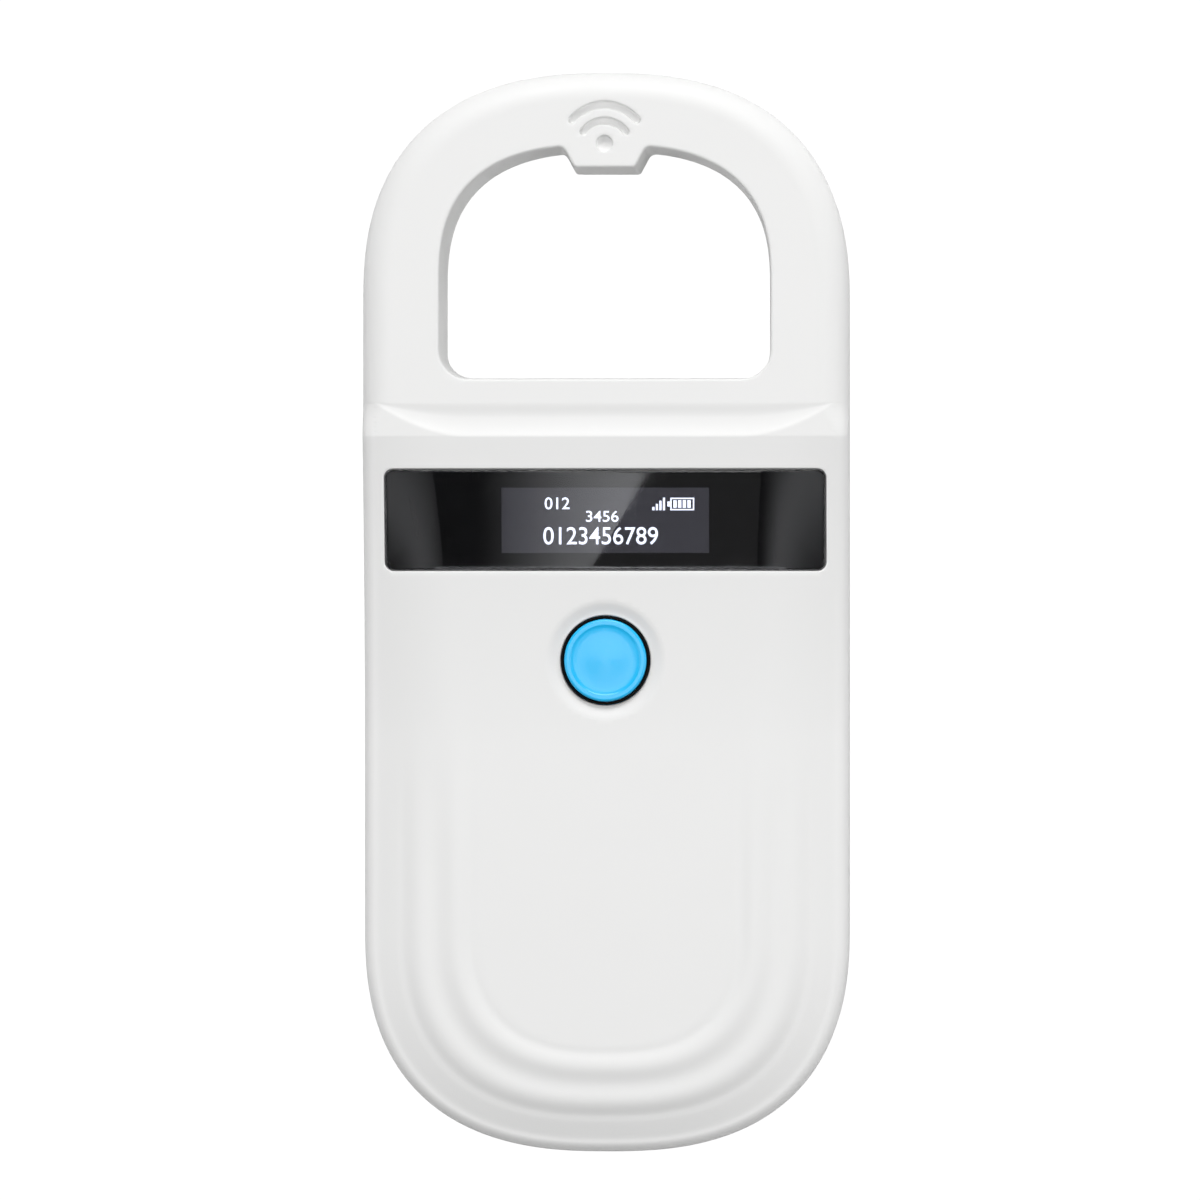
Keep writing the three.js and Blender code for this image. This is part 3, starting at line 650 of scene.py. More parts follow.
def make_back_shell():
    points = stations(110, [lerp(LOOP_CENTRE_Y - 2, GRIP_CENTRE_Y + 2, i / 30) for i in range(31)])
    profile = [(HALF_WIDTH, 0)]
    for i in range(13):
        turn = math.pi / 2 * i / 12
        profile.append((BACK_EDGE * (1 - math.sin(turn)), BACK_EDGE * (1 - math.cos(turn))))
    profile += [(0, PARTING_Z - 0.3), (0.04, PARTING_Z - SEAM), (SEAM + 0.1, PARTING_Z),
                (HALF_WIDTH, PARTING_Z)]
    rings = [[(*inset(point, distance), z) for point in points] for distance, z in profile]
    shell = solid(loft(rings))
    inner = stations(40, [25, 10, -6, -22])
    hollow = [(HALF_WIDTH, WALL), (3.6, WALL), (WALL, 3.6), (WALL, 9), (HALF_WIDTH, 9)]
    cavity = solid(loft([[(*inset(point, distance), z) for point in inner]
                         for distance, z in hollow]))
    case_centres = [screw_centre(node) for node in CASE_SCREWS]
    board_centres = [screw_centre(node) for node in BOARD_SCREWS]
    board_low = box_mm("main_board")[0].z
    keep_clear = [solid(post(BOSS_RADIUS, centre, 0, 12, 32)) for centre in case_centres]
    keep_clear += [solid(post(2.3, centre, 0, board_low, 32)) for centre in board_centres]
    combine(cavity, [loop_wall(-1, 20)] + keep_clear)
    cutters = [cavity, hole_cutter(0.0), label_recess()]
    cutters += [screw_well(centre) for centre in case_centres]
    cutters += [solid(post(0.95, centre, 3, 9, 24)) for centre in board_centres]
    return combine(shell, cutters)


def label_recess():
    low, high = box_mm("rating_label")
    half_x, half_y = high.x + 0.2, (high.y - low.y) / 2 + 0.2
    middle = (high.y + low.y) / 2
    rows = ((-1, 0.1), (0, 0.1), (0.08, 0), (0.3, 0))
    return solid(prism([(z, [(x, y + middle) for x, y in
                             rectangle_outline(half_x + grow, half_y + grow, 1.7 + grow)])
                        for z, grow in rows]))


def screw_well(centre):
    """Counterbore with a rounded lip, and the clearance hole above it."""
    head = box_mm(CASE_SCREWS[0])
    seat = (head[1].x - head[0].x) / 2
    low = head[0].z + 1.5
    radius = max(seat, SCREW_HOLE_RADIUS)
    return solid(turned([(0, -1), (radius + 0.3, -1), (radius + 0.3, 0), (radius + 0.1, 0.07),
                         (radius, 0.3), (radius, low), (1.15, low), (1.15, 9), (0, 9)], centre, 64))


# ------------------------------------------------------------ window, button and fasteners

def make_lens():
    """A polished window that follows the crown, with a softened rim."""
    shrink = -0.05
    rows = [(shrink, LENS_THICKNESS), (shrink, 0.16), (shrink - 0.04, 0.08),
            (shrink - 0.11, 0.04), (shrink - 0.2, 0.03)]
    rings = [[(x, y + WINDOW_Y, lens_height(x, y + WINDOW_Y) - depth)
              for x, y in window_outline(grow)] for grow, depth in rows]
    under = list(reversed(close_along(rings[0], LENS_THICKNESS)))
    return solid(loft(under + rings + close_along(rings[-1], 0.03)))


def make_window_ink():
    """Black printed border behind the window, open over the lit part of the display."""
    low_depth, high_depth = LENS_THICKNESS + 0.07, LENS_THICKNESS + 0.01
    rings = [[(x, y + WINDOW_Y, lens_height(x, y + WINDOW_Y) - depth)
              for x, y in window_outline(-0.08)] for depth in (low_depth, high_depth)]
    under = list(reversed(close_along(rings[0], low_depth)))
    ink = solid(loft(under + rings + close_along(rings[-1], high_depth)))
    low, high = box_mm("display_polarizer")
    return combine(ink, [solid(block((low.x, low.y, 12), (high.x, high.y, 22)))])


def make_button():
    """Blue cap: stem, retaining flange, and a softly crowned top inside a raised rim."""
    low = CAP_LOW.z
    flange = (CAP_HIGH.x - CAP_LOW.x) / 2
    rim = CAP_RADIUS
    profile = [(0, low), (1.45, low), (1.6, low + 0.15), (1.6, 13.7), (flange - 0.15, 13.7),
               (flange, 13.8), (flange, 13.95), (flange - 0.1, 14.05), (rim, 14.05)]
    profile += arc_profile((rim - 0.32, BUTTON_TOP - 0.36), 0.32, 0, 90, 8)
    profile += arc_profile((rim - 0.62, BUTTON_TOP - 0.36), 0.3, 80, 130, 4)
    profile += [(rim - 1.1, BUTTON_TOP - 0.2), (rim - 1.6, BUTTON_TOP - 0.22)]
    profile += [(lerp(rim - 1.6, 0, i / 8), BUTTON_TOP - 0.22 + 0.1 * smooth(i / 8))
                for i in range(1, 9)]
    return solid(turned(profile, (0, BUTTON_Y), 128))


def make_button_ring():
    inner, outer = RING_RADIUS - 0.3, RING_RADIUS
    top = RING_HIGH.z - 0.06
    profile = [(inner, RING_LOW.z), (outer, RING_LOW.z), (outer, top - 0.1), (outer - 0.05, top),
               (outer - 0.15, top + 0.04), (inner + 0.05, top), (inner, top - 0.1),
               (inner, RING_LOW.z)]
    return solid(turned(profile, (0, BUTTON_Y), 128))


def make_case_screw(node):
    """Pan head with a cross recess, and a shank with turned threads."""
    low, high = box_mm(node)
    centre = screw_centre(node)
    head = (high.x - low.x) / 2
    throat = low.z + 1.4
    profile = [(0, low.z), (head - 0.75, low.z), (head - 0.4, low.z + 0.06),
               (head - 0.1, low.z + 0.3), (head, low.z + 0.6), (head, throat), (0.82, throat)]
    turns = 14
    pitch = (high.z - 1.2 - throat) / turns
    for i in range(turns):
        base = throat + 0.2 + pitch * i
        profile += [(0.78, base), (1.0, base + pitch * 0.4), (1.0, base + pitch * 0.5),
                    (0.78, base + pitch * 0.9)]
    profile += [(0.7, high.z - 0.7), (0, high.z)]
    screw = solid(turned(profile, centre, 40))
    recess = []
    for across, along in ((0.17, 0.95), (0.95, 0.17)):
        slot = block((-across, -along, -1), (across, along, 0.75))
        end = [vert for vert in slot.verts if vert.co.z > 0]
        bmesh.ops.scale(slot, vec=(0.55, 0.55, 1), verts=end)
        bmesh.ops.translate(slot, vec=(centre[0], centre[1], low.z), verts=slot.verts)
        recess.append(solid(slot))
    return combine(screw, recess)


def make_port_shell():
    """Folded socket with an open mouth and rounded corners."""
    low, high = PORT_LOW, PORT_HIGH
    outer = block(low, high, bevel=0.35, segments=4)
    wall = 0.28
    mouth = block((low.x + wall, low.y - 1, low.z + wall),
                  (high.x - wall, high.y - wall, high.z - wall), bevel=0.25, segments=3)
    return combine(solid(outer), [solid(mouth)])


def make_port_tongue():
    low, high = box_mm("usb_tongue")
    tongue = block(low, high, bevel=0.08, segments=2)
    contacts = []
    for i in range(5):
        x = lerp(-1.3, 1.3, i / 4)
        contacts.append(block((x - 0.14, low.y + 0.35, low.z - 0.02),
                              (x + 0.14, high.y - 0.2, low.z + 0.1)))
    return combine(solid(tongue), [solid(join(contacts))], "UNION")


def make_label():
    low, high = box_mm("rating_label")
    half_x, half_y, middle = high.x, (high.y - low.y) / 2, (high.y + low.y) / 2
    rows = ((low.z + 0.02, -0.04), (low.z + 0.05, 0), (high.z, 0))
    return solid(prism([(z, [(x, y + middle) for x, y in
                             rectangle_outline(half_x + grow, half_y + grow, 1.5 + grow)])
                        for z, grow in rows]))


# ------------------------------------------------------------ lit display

def lettering(text, size, stretch, place):
    """Numerals as thin plates on the display, their lower left corner at place."""
    curve = bpy.data.curves.new("numerals", "FONT")
    curve.body = text
    curve.size = size
    curve.extrude = 0.01
    curve.offset = 0.012
    flat = bpy.data.objects.new("numerals", curve)
    bpy.context.scene.collection.objects.link(flat)
    evaluated = flat.evaluated_get(bpy.context.evaluated_depsgraph_get())
    mesh = bpy.data.meshes.new_from_object(evaluated)
    bpy.data.objects.remove(flat)
    bpy.data.curves.remove(curve)
    bm = bmesh.new()
    bm.from_mesh(mesh)
    bpy.data.meshes.remove(mesh)
    bmesh.ops.remove_doubles(bm, verts=bm.verts, dist=1e-4)
    bmesh.ops.scale(bm, vec=(stretch, 1, 1), verts=bm.verts)
    bmesh.ops.translate(bm, vec=(*place, DISPLAY_Z + 0.03), verts=bm.verts)
    return bm


def bar(x, y, z_lift=0.02):
    return block((x[0], y[0], DISPLAY_Z + z_lift), (x[1], y[1], DISPLAY_Z + z_lift + 0.03))


def battery_symbol(left, low):
    """Outline with a terminal on the left and four filled bars."""
    right, high, line = left + 2.85, low + 1.5, 0.16
    parts = [bar((left, right), (low, low + line)), bar((left, right), (high - line, high)),
             bar((left, left + line), (low, high)), bar((right - line, right), (low, high)),
             bar((left - 0.35, left), (low + 0.45, high - 0.45))]
    for i in range(4):
        first = left + 0.36 + 0.56 * i
        parts.append(bar((first, first + 0.4), (low + 0.3, high - 0.3)))
    return parts


def signal_symbol(left, low):
    """Four rising bars."""
    return [bar((left + 0.42 * i, left + 0.42 * i + 0.26), (low, low + 0.4 + 0.37 * i))
            for i in range(4)]


def make_display_marks():
    parts = [
        lettering("012", 2.0, 1.03, (-7.32, 12.45)),
        lettering("3456", 1.85, 1.1, (-2.45, 10.95)),
        lettering("0123456789", 2.95, 0.94, (-7.5, 8.25)),
    ]
    parts += battery_symbol(7.75, 12.3)
    parts += signal_symbol(5.6, 12.3)
    return solid(join(parts))


# ------------------------------------------------------------ shared effects

def new_group(name, inputs, outputs):
    group = bpy.data.node_groups.new(name, "ShaderNodeTree")
    for label, kind, value in inputs:
        socket = group.interface.new_socket(name=label, in_out="INPUT", socket_type=kind)
        if value is not None:
            socket.default_value = value
    for label, kind in outputs:
        group.interface.new_socket(name=label, in_out="OUTPUT", socket_type=kind)
    entry = group.nodes.new("NodeGroupInput")
    leave = group.nodes.new("NodeGroupOutput")
    return group, entry, leave


def add_node(tree, kind, values=None, **settings):
    node = tree.nodes.new(kind)
    for key, value in settings.items():
        setattr(node, key, value)
    for label, value in (values or {}).items():
        node.inputs[label].default_value = value
    return node


def object_noise(tree, scale_socket=None, **values):
    """Noise on Object coordinates; its scale may come from a socket."""
    place = add_node(tree, "ShaderNodeTexCoord")
    noise = add_node(tree, "ShaderNodeTexNoise", values)
    tree.links.new(place.outputs["Object"], noise.inputs["Vector"])
    if scale_socket is not None:
        tree.links.new(scale_socket, noise.inputs["Scale"])
    return noise


def moulded_finish_group():
    """Plastic out of a mould: fine grain, faint clouding of the colour, patches of handling."""
    group, entry, leave = new_group(
        "moulded_finish",
        [("Colour", "NodeSocketColor", (0.8, 0.8, 0.8, 1)), ("Clouding", "NodeSocketFloat", 0.03),
         ("Roughness", "NodeSocketFloat", 0.4), ("Handling", "NodeSocketFloat", 0.06),
         ("Grain Scale", "NodeSocketFloat", 5200.0), ("Grain Depth", "NodeSocketFloat", 0.1)],
        [("Colour", "NodeSocketColor"), ("Roughness", "NodeSocketFloat"),
         ("Normal", "NodeSocketVector")],
    )
    links = group.links
    cloud = object_noise(group, Scale=38.0, Detail=3.0, Roughness=0.55)
    shade = add_node(group, "ShaderNodeMath", operation="MULTIPLY_ADD")
    centre = add_node(group, "ShaderNodeMath", {1: 0.5}, operation="SUBTRACT")
    links.new(cloud.outputs["Fac"], centre.inputs[0])
    links.new(centre.outputs[0], shade.inputs[0])
    links.new(entry.outputs["Clouding"], shade.inputs[1])
    shade.inputs[2].default_value = 1.0
    tint = add_node(group, "ShaderNodeVectorMath", operation="SCALE")
    links.new(entry.outputs["Colour"], tint.inputs[0])
    links.new(shade.outputs[0], tint.inputs["Scale"])
    links.new(tint.outputs[0], leave.inputs["Colour"])
    smudge = object_noise(group, Scale=120.0, Detail=4.0, Roughness=0.6)
    patch = add_node(group, "ShaderNodeMapRange", {"From Min": 0.45, "From Max": 0.7,
                                                   "To Min": -0.3, "To Max": 1.0})
    rough = add_node(group, "ShaderNodeMath", operation="MULTIPLY_ADD")
    links.new(smudge.outputs["Fac"], patch.inputs["Value"])
    links.new(patch.outputs["Result"], rough.inputs[0])
    links.new(entry.outputs["Handling"], rough.inputs[1])
    links.new(entry.outputs["Roughness"], rough.inputs[2])
    links.new(rough.outputs[0], leave.inputs["Roughness"])
    grain = object_noise(group, entry.outputs["Grain Scale"], Detail=2.0, Roughness=0.5)
    bump = add_node(group, "ShaderNodeBump", {"Distance": 0.00003})
    links.new(entry.outputs["Grain Depth"], bump.inputs["Strength"])
    links.new(grain.outputs["Fac"], bump.inputs["Height"])
    links.new(bump.outputs["Normal"], leave.inputs["Normal"])
    return group


def drawn_metal_group():
    """Sheet or turned metal: fine lines one way, patches of tarnish."""
    group, entry, leave = new_group(
        "drawn_metal",
        [("Colour", "NodeSocketColor", (0.6, 0.6, 0.6, 1)),
         ("Tarnish", "NodeSocketColor", (0.4, 0.4, 0.4, 1)),
         ("Roughness", "NodeSocketFloat", 0.3), ("Line Depth", "NodeSocketFloat", 0.15)],
        [("Colour", "NodeSocketColor"), ("Roughness", "NodeSocketFloat"),
         ("Normal", "NodeSocketVector")],
    )
    links = group.links
    place = add_node(group, "ShaderNodeTexCoord")
    stretch = add_node(group, "ShaderNodeMapping", {"Scale": (1.0, 18.0, 18.0)})
    lines = add_node(group, "ShaderNodeTexNoise", {"Scale": 700.0, "Detail": 3.0})
    links.new(place.outputs["Object"], stretch.inputs["Vector"])
    links.new(stretch.outputs["Vector"], lines.inputs["Vector"])
    patches = object_noise(group, Scale=260.0, Detail=4.0)
    mask = add_node(group, "ShaderNodeMapRange", {"From Min": 0.5, "From Max": 0.72})
    links.new(patches.outputs["Fac"], mask.inputs["Value"])
    mix = add_node(group, "ShaderNodeMix", data_type="RGBA")
    links.new(mask.outputs["Result"], mix.inputs["Factor"])
    links.new(entry.outputs["Colour"], mix.inputs[6])
    links.new(entry.outputs["Tarnish"], mix.inputs[7])
    links.new(mix.outputs[2], leave.inputs["Colour"])
    rough = add_node(group, "ShaderNodeMath", {1: 0.18}, operation="MULTIPLY_ADD")
    links.new(lines.outputs["Fac"], rough.inputs[0])
    links.new(entry.outputs["Roughness"], rough.inputs[2])
    links.new(rough.outputs[0], leave.inputs["Roughness"])
    bump = add_node(group, "ShaderNodeBump", {"Distance": 0.00002})
    links.new(entry.outputs["Line Depth"], bump.inputs["Strength"])
    links.new(lines.outputs["Fac"], bump.inputs["Height"])
    links.new(bump.outputs["Normal"], leave.inputs["Normal"])
    return group


MOULDED = moulded_finish_group()
METAL = drawn_metal_group()


# ------------------------------------------------------------ materials

def new_material(name, sockets):
    """A material with uniform values set on its shader, and the shader itself."""
    material = bpy.data.materials.new(name)
    material.use_nodes = True
    shader = material.node_tree.nodes["Principled BSDF"]
    for label, value in sockets.items():
        shader.inputs[label].default_value = value
    return material, shader


def use_group(material, shader, group, values):
    tree = material.node_tree
    node = add_node(tree, "ShaderNodeGroup")
    node.node_tree = group
    for label, value in values.items():
        node.inputs[label].default_value = value
    tree.links.new(node.outputs["Colour"], shader.inputs["Base Color"])
    tree.links.new(node.outputs["Roughness"], shader.inputs["Roughness"])
    tree.links.new(node.outputs["Normal"], shader.inputs["Normal"])
    return node


def plastic(name, colour, roughness, grain=0.1, clouding=0.04, handling=0.06, scale=5200.0,
            **sockets):
    material, shader = new_material(name, sockets)
    use_group(material, shader, MOULDED, {
        "Colour": (*colour, 1), "Clouding": clouding, "Roughness": roughness,
        "Handling": handling, "Grain Scale": scale, "Grain Depth": grain,
    })
    return material


def metal(name, colour, tarnish, roughness, lines=0.15):
    material, shader = new_material(name, {"Metallic": 1.0})
    use_group(material, shader, METAL, {
        "Colour": (*colour, 1), "Tarnish": (*tarnish, 1), "Roughness": roughness,
        "Line Depth": lines,
    })
    return material


def smoked_acrylic():
    material = plastic("smoked_acrylic", (0.44, 0.44, 0.47), 0.015, grain=0.004, clouding=0.02,
                       handling=0.03, scale=900.0, IOR=1.49)
    shader = material.node_tree.nodes["Principled BSDF"]
    shader.inputs["Transmission Weight"].default_value = 1.0
    return material


def lit_dots():
    """Display light: brightness wavers a little from dot to dot."""
    material, shader = new_material("lit_dots", {"Roughness": 0.4, "Emission Strength": 4.2})
    shader.inputs["Base Color"].default_value = (0.1, 0.1, 0.1, 1)
    tree = material.node_tree
    noise = object_noise(tree, Scale=5700.0, Detail=0.0)
    ramp = add_node(tree, "ShaderNodeValToRGB")
    ramp.color_ramp.elements[0].position = 0.3
    ramp.color_ramp.elements[0].color = (*(0.72 * value for value in DISPLAY_WHITE), 1)
    ramp.color_ramp.elements[1].position = 0.6
    ramp.color_ramp.elements[1].color = (*DISPLAY_WHITE, 1)
    tree.links.new(noise.outputs["Fac"], ramp.inputs["Fac"])
    tree.links.new(ramp.outputs["Color"], shader.inputs["Emission Color"])
    return material


def circuit_board():
    """Green solder mask over darker copper tracks, with small tinned pads."""
    material, shader = new_material("solder_mask", {"Roughness": 0.35, "Coat Weight": 0.3})
    tree = material.node_tree
    place = add_node(tree, "ShaderNodeTexCoord")
    tracks = add_node(tree, "ShaderNodeTexBrick", {
        "Color1": (0.012, 0.14, 0.07, 1), "Color2": (0.016, 0.19, 0.09, 1),
        "Mortar": (0.03, 0.3, 0.13, 1), "Scale": 260.0, "Mortar Size": 0.03,
    })
    pads = add_node(tree, "ShaderNodeTexVoronoi", {"Scale": 420.0})
    near = add_node(tree, "ShaderNodeMath", {1: 0.16}, operation="LESS_THAN")
    mix = add_node(tree, "ShaderNodeMix", data_type="RGBA")
    mix.inputs[7].default_value = (0.62, 0.6, 0.52, 1)
    tree.links.new(place.outputs["Object"], tracks.inputs["Vector"])
    tree.links.new(place.outputs["Object"], pads.inputs["Vector"])
    tree.links.new(pads.outputs["Distance"], near.inputs[0])
    tree.links.new(near.outputs[0], mix.inputs["Factor"])
    tree.links.new(tracks.outputs["Color"], mix.inputs[6])
    tree.links.new(mix.outputs[2], shader.inputs["Base Color"])
    tree.links.new(near.outputs[0], shader.inputs["Metallic"])
    bump = add_node(tree, "ShaderNodeBump", {"Strength": 0.3, "Distance": 0.00003})
    tree.links.new(tracks.outputs["Fac"], bump.inputs["Height"])
    tree.links.new(bump.outputs["Normal"], shader.inputs["Normal"])
    return material


def wound_copper():
    """Enamelled wire laid turn on turn up the height of the coil, with painted shade in the grooves
    between turns.
    """
    material, shader = new_material("wound_copper", {"Metallic": 1.0, "Coat Weight": 0.6})
    tree = material.node_tree
    place = add_node(tree, "ShaderNodeTexCoord")
    turns = add_node(tree, "ShaderNodeTexWave", {"Scale": 1050.0, "Distortion": 0.4, "Detail": 1.0},
                     wave_type="BANDS", bands_direction="Z", wave_profile="SIN")
    # The ramp darkens the colour in the grooves between turns: painted shade between the wires,
    # full copper colour on their crests.
    ramp = add_node(tree, "ShaderNodeValToRGB")
    ramp.color_ramp.elements[0].color = (0.16, 0.045, 0.015, 1)
    ramp.color_ramp.elements[1].color = (0.62, 0.25, 0.1, 1)
    rough = add_node(tree, "ShaderNodeMapRange", {"To Min": 0.5, "To Max": 0.28})
    bump = add_node(tree, "ShaderNodeBump", {"Strength": 0.9, "Distance": 0.00006})
    tree.links.new(place.outputs["Object"], turns.inputs["Vector"])
    tree.links.new(turns.outputs["Fac"], ramp.inputs["Fac"])
    tree.links.new(turns.outputs["Fac"], rough.inputs["Value"])
    tree.links.new(turns.outputs["Fac"], bump.inputs["Height"])
    tree.links.new(ramp.outputs["Color"], shader.inputs["Base Color"])
    tree.links.new(rough.outputs["Result"], shader.inputs["Roughness"])
    tree.links.new(bump.outputs["Normal"], shader.inputs["Normal"])
    return material


def label_stock():
    """Coated paper label: fine fibres and a faint printed border, with no lettering."""
    material, shader = new_material("label_stock", {"Coat Weight": 0.25})
    node = use_group(material, shader, MOULDED, {
        "Colour": (0.7, 0.71, 0.72, 1), "Clouding": 0.08, "Roughness": 0.45,
        "Handling": 0.1, "Grain Scale": 3000.0, "Grain Depth": 0.15,
    })
    tree = material.node_tree
    low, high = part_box("rating_label")
    place = add_node(tree, "ShaderNodeTexCoord")
    middle = [-(a + b) / 2 for a, b in zip(low, high)]
    shift = add_node(tree, "ShaderNodeMapping", {"Location": middle})
    split = add_node(tree, "ShaderNodeSeparateXYZ")
    tree.links.new(place.outputs["Object"], shift.inputs["Vector"])
    tree.links.new(shift.outputs["Vector"], split.inputs["Vector"])
    gaps = []
    for axis, half in (("X", high.x - 0.0012), ("Y", (high.y - low.y) / 2 - 0.0012)):
        size = add_node(tree, "ShaderNodeMath", operation="ABSOLUTE")
        gap = add_node(tree, "ShaderNodeMath", {1: half}, operation="SUBTRACT")
        tree.links.new(split.outputs[axis], size.inputs[0])
        tree.links.new(size.outputs[0], gap.inputs[0])
        gaps.append(gap)
    outer = add_node(tree, "ShaderNodeMath", operation="MAXIMUM")
    line = add_node(tree, "ShaderNodeMath", {1: 0.0, 2: 0.00012}, operation="COMPARE")
    tree.links.new(gaps[0].outputs[0], outer.inputs[0])
    tree.links.new(gaps[1].outputs[0], outer.inputs[1])
    tree.links.new(outer.outputs[0], line.inputs[0])
    mix = add_node(tree, "ShaderNodeMix", data_type="RGBA")
    mix.inputs[7].default_value = (0.12, 0.13, 0.15, 1)
    tree.links.new(line.outputs[0], mix.inputs["Factor"])
    tree.links.new(node.outputs["Colour"], mix.inputs[6])
    tree.links.new(mix.outputs[2], shader.inputs["Base Color"])
    return material


def make_materials():
    return {
        "white_shell": plastic("white_abs", (0.865, 0.865, 0.86), 0.5, grain=0.12, clouding=0.012,
                               handling=0.05, **{"Specular IOR Level": 0.36}),
        "smoked_window": smoked_acrylic(),
        "black_tape": plastic("black_foam_tape", (0.006, 0.006, 0.007), 0.85, grain=0.5,
                              scale=2500.0),
        "blue_button": plastic("sky_blue_abs", (0.008, 0.545, 1.0), 0.3, grain=0.04,
                               clouding=0.01, handling=0.02, **{"Coat Weight": 0.3,
                                                                "Coat Roughness": 0.12}),
        "black_rubber": plastic("black_silicone", (0.002, 0.002, 0.002), 0.7, grain=0.2,
                                **{"Specular IOR Level": 0.12}),
        "paper_label": label_stock(),
        "screw_steel": metal("zinc_plate", (0.6, 0.61, 0.63), (0.42, 0.43, 0.42), 0.24),
        "spring_steel": metal("tinned_sheet", (0.68, 0.68, 0.67), (0.5, 0.49, 0.46), 0.2),
        "circuit_board": circuit_board(),
        "black_plastic": plastic("black_nylon", (0.012, 0.012, 0.013), 0.5, grain=0.25),
        "white_plastic": plastic("natural_nylon", (0.76, 0.72, 0.62), 0.42, grain=0.15),
        "panel_glass": plastic("display_glass", (0.003, 0.003, 0.006), 0.06, grain=0.003,
                               handling=0.02, scale=900.0, **{
                                   "Emission Color": (0.8, 0.8, 1.0, 1),
                                   "Emission Strength": 0.05}),
        "lit_display": lit_dots(),
        "amber_film": plastic("polyimide_film", (0.46, 0.17, 0.03), 0.3, grain=0.1),
        "copper_wire": wound_copper(),
        "pouch_foil": metal("pouch_foil", (0.62, 0.63, 0.66), (0.5, 0.5, 0.52), 0.3, lines=0.5),
        "red_wire": plastic("red_silicone", (0.48, 0.015, 0.012), 0.5, grain=0.1),
        "black_wire": plastic("black_wire_silicone", (0.012, 0.012, 0.013), 0.5, grain=0.1),
    }


# ------------------------------------------------------------ assembly

def dress_frame_nodes(materials):
    """Gives each carried-over node the finish of its slot."""
    slots = {part["node"]: part["material_slot"] for part in frame["record"]["subparts"]}
    for name, node in frame["nodes"].items():
        for material_slot in node.material_slots:
            material_slot.material = materials[slots[name]]


def assemble(materials):
    shown = [
        (make_front_shell, "shell_front", "white_shell", "root", ["front_shell"]),
        (make_back_shell, "shell_back", "white_shell", "root", ["back_shell"]),
        (make_lens, "window_lens", "smoked_window", "root", ["display_window"]),
        (make_window_ink, "window_ink", "black_tape", "root", []),
        (make_button_ring, "button_surround", "black_rubber", "root", ["button_ring"]),
        (make_button, "push_button", "blue_button", "button", ["button_cap"]),
        (make_port_shell, "port_shell", "spring_steel", "root", ["usb_shell"]),
        (make_port_tongue, "port_tongue", "black_plastic", "root", ["usb_tongue"]),
        (make_label, "blank_label", "paper_label", "root", ["rating_label"]),
        (make_display_marks, "display_marks", "lit_display", "root", []),
    ]
    for make, name, slot, body, stands_for in shown:
        finish_piece(make(), name, materials[slot], body, stands_for)
    for node in CASE_SCREWS:
        finish_piece(make_case_screw(node), node + "_turned", materials["screw_steel"],
                     "root", [node])


# ------------------------------------------------------------ stage, camera and light

def add_plane(name, material, corners):
    """A flat sheet of stage dressing."""
    bm = bmesh.new()
    bm.faces.new([bm.verts.new(corner) for corner in corners])
    plane = solid(bm, name)
    plane.data.materials.append(material)
    return plane


def level_corners(left, right, low, high, z):
    return [(left, low, z), (right, low, z), (right, high, z), (left, high, z)]


def square(half, z):
    return level_corners(-half, half, -half, half, z)


def add_floor():
    """A pale table that lights the object from below, and the white seen behind it."""
    table, shader = new_material("pale_table", {"Roughness": 0.9})
    noise = object_noise(table.node_tree, Scale=3.0, Detail=2.0)
    ramp = add_node(table.node_tree, "ShaderNodeValToRGB")
    ramp.color_ramp.elements[0].color = (0.68, 0.68, 0.68, 1)
    ramp.color_ramp.elements[1].color = (0.72, 0.72, 0.72, 1)
    table.node_tree.links.new(noise.outputs["Fac"], ramp.inputs["Fac"])
    table.node_tree.links.new(ramp.outputs["Color"], shader.inputs["Base Color"])
    floor = add_plane("floor", table, square(3.0, 0.0))
    floor.visible_camera = False
    floor.visible_transmission = False
    white, shader = new_material("white_backdrop", {"Roughness": 1.0, "Emission Strength": 1.05})
    shader.inputs["Base Color"].default_value = (0, 0, 0, 1)
    shader.inputs["Emission Color"].default_value = (1, 1, 1, 1)
    backdrop = add_plane("backdrop", white, square(3.0, -0.001))
    backdrop.visible_diffuse = False
    backdrop.visible_glossy = False
    backdrop.visible_shadow = False


def aim(obj, place, target, up=(0, 1, 0)):
    """Puts a light or camera at place, looking at target, with up towards its top edge."""
    back = (Vector(place) - Vector(target)).normalized()
    right = Vector(up).cross(back).normalized()
    turn = Matrix((right, back.cross(right), back)).transposed().to_4x4()
    obj.matrix_world = Matrix.Translation(place) @ turn


def add_light(name, place, size, power, colour=(1, 1, 1)):
    data = bpy.data.lights.new(name, "AREA")
    data.shape = "RECTANGLE"
    data.size, data.size_y = size
    data.energy = power
    data.color = colour
    light = bpy.data.objects.new(name, data)
    bpy.context.scene.collection.objects.link(light)
    aim(light, place, (0, 0, 0.01))
    return light


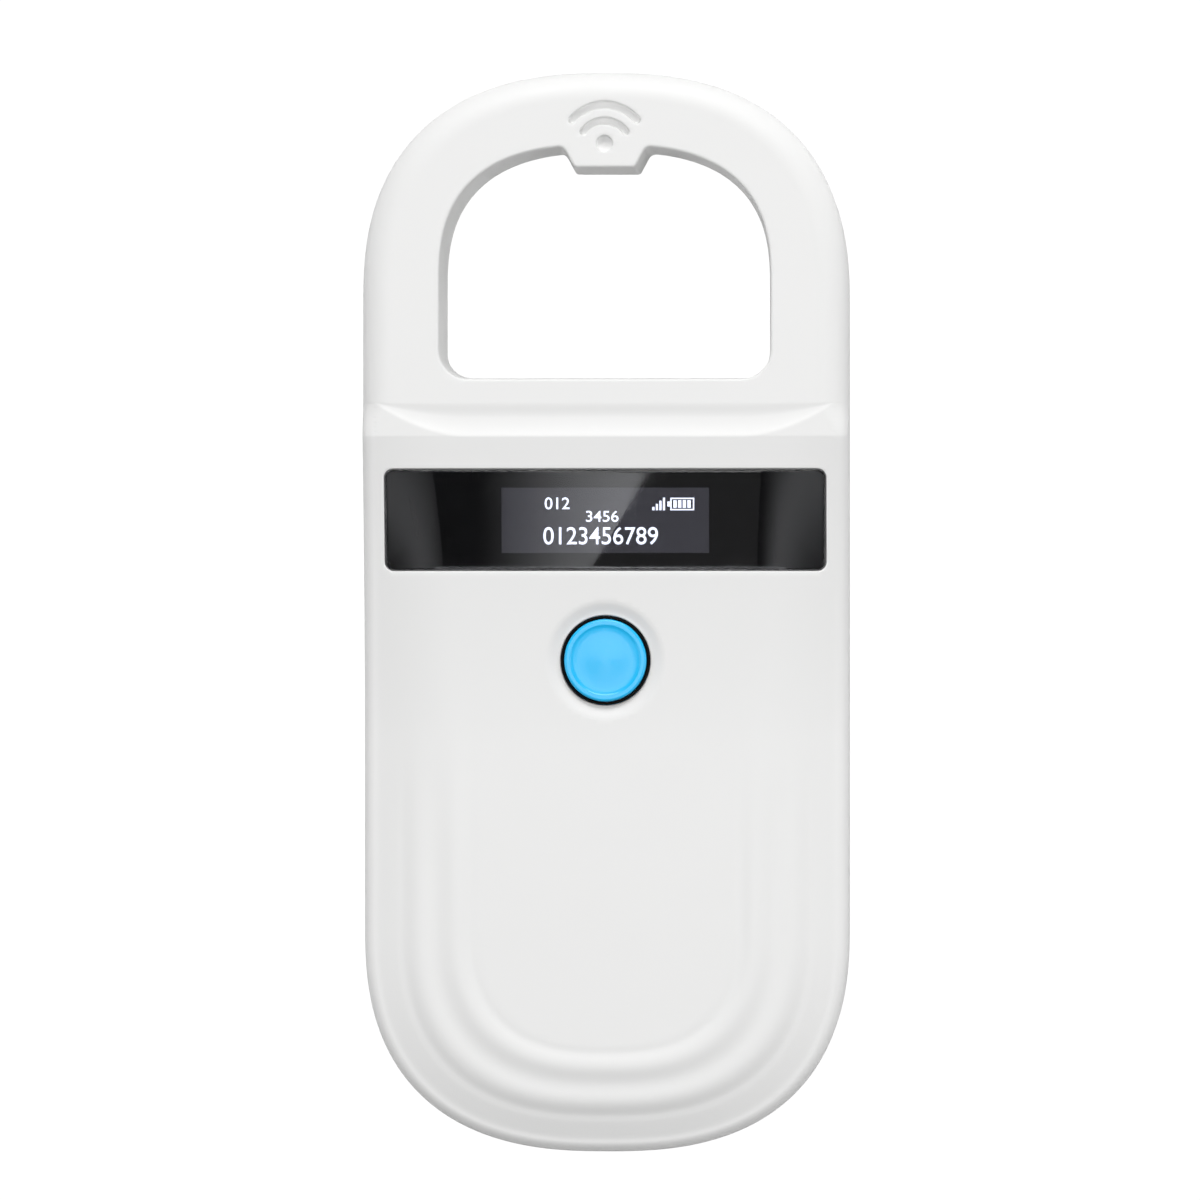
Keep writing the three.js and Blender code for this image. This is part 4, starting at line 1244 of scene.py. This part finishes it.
def add_card(name, corners, stops, strength):
    """A card seen only in glossy surfaces; stops holds (x, brightness) from left to right."""
    material, shader = new_material(name, {"Roughness": 1.0, "Emission Strength": strength})
    shader.inputs["Base Color"].default_value = (0, 0, 0, 1)
    tree = material.node_tree
    first, last = stops[0][0], stops[-1][0]
    place = add_node(tree, "ShaderNodeTexCoord")
    split = add_node(tree, "ShaderNodeSeparateXYZ")
    across = add_node(tree, "ShaderNodeMapRange", {"From Min": first, "From Max": last})
    ramp = add_node(tree, "ShaderNodeValToRGB")
    ramp.color_ramp.interpolation = "EASE"
    for i, (x, brightness) in enumerate(stops):
        position = (x - first) / (last - first)
        elements = ramp.color_ramp.elements
        element = elements.new(position) if 0 < i < len(stops) - 1 else elements[-1 if i else 0]
        element.color = (brightness * 0.96, brightness * 0.97, brightness, 1)
    tree.links.new(place.outputs["Object"], split.inputs["Vector"])
    tree.links.new(split.outputs["X"], across.inputs["Value"])
    tree.links.new(across.outputs["Result"], ramp.inputs["Fac"])
    tree.links.new(ramp.outputs["Color"], shader.inputs["Emission Color"])
    card = add_plane(name, material, corners)
    card.visible_camera = False
    card.visible_diffuse = False
    card.visible_shadow = False
    card.visible_transmission = False


SLANTED_CARD_Z = 1.1
END_CARD_Z = 1.12


def add_cards():
    """Reflections in the window: a slanted one with a sharp right edge, and one at each end."""
    z = SLANTED_CARD_Z
    add_card("slanted_card",
             [(-0.2, -0.4, z), (0.0016, -0.4, z), (-0.0678, -0.12, z), (-0.2, -0.12, z)],
             [(-0.078, 0.0), (-0.036, 1.0)], 3.6)
    add_card("left_card", level_corners(-0.62, -0.1, -0.5, 0.0, END_CARD_Z),
             [(-0.62, 0.3), (-0.42, 1.0), (-0.1, 0.0)], 1.1)
    add_card("right_card", level_corners(0.02, 0.55, -0.5, 0.0, END_CARD_Z),
             [(0.02, 0.0), (0.22, 1.0), (0.55, 0.2)], 1.2)


def add_lights():
    add_light("key_softbox", (0.08, 1.3, 1.0), (1.2, 0.7), 17.2)
    add_light("top_softbox", (0.0, 0.1, 1.4), (0.7, 0.7), 4.6)
    add_light("right_softbox", (1.0, -0.1, 0.62), (0.5, 0.6), 3.0)
    add_light("left_softbox", (-1.0, -0.1, 0.62), (0.5, 0.6), 2.2)
    world = bpy.data.worlds.new("studio")
    world.use_nodes = True
    background = world.node_tree.nodes["Background"]
    background.inputs["Color"].default_value = (1, 1, 1, 1)
    background.inputs["Strength"].default_value = 0.2
    bpy.context.scene.world = world
    bpy.context.scene.view_settings.view_transform = "Standard"


CAMERA_PLACE = (0.045, 0.0, 1.108)
CAMERA_TARGET = (-0.001, 0.00156, 0.008)
FRAME_WIDTH = 0.1444


def add_camera():
    data = bpy.data.cameras.new("camera")
    distance = (Vector(CAMERA_PLACE) - Vector(CAMERA_TARGET)).length
    data.sensor_width = 36
    data.lens = 36 * distance / FRAME_WIDTH
    data.clip_start = 0.01
    camera = bpy.data.objects.new("camera", data)
    bpy.context.scene.collection.objects.link(camera)
    aim(camera, CAMERA_PLACE, CAMERA_TARGET)
    bpy.context.scene.camera = camera


add_camera()
add_floor()
add_lights()
add_cards()
finishes = make_materials()
dress_frame_nodes(finishes)
assemble(finishes)
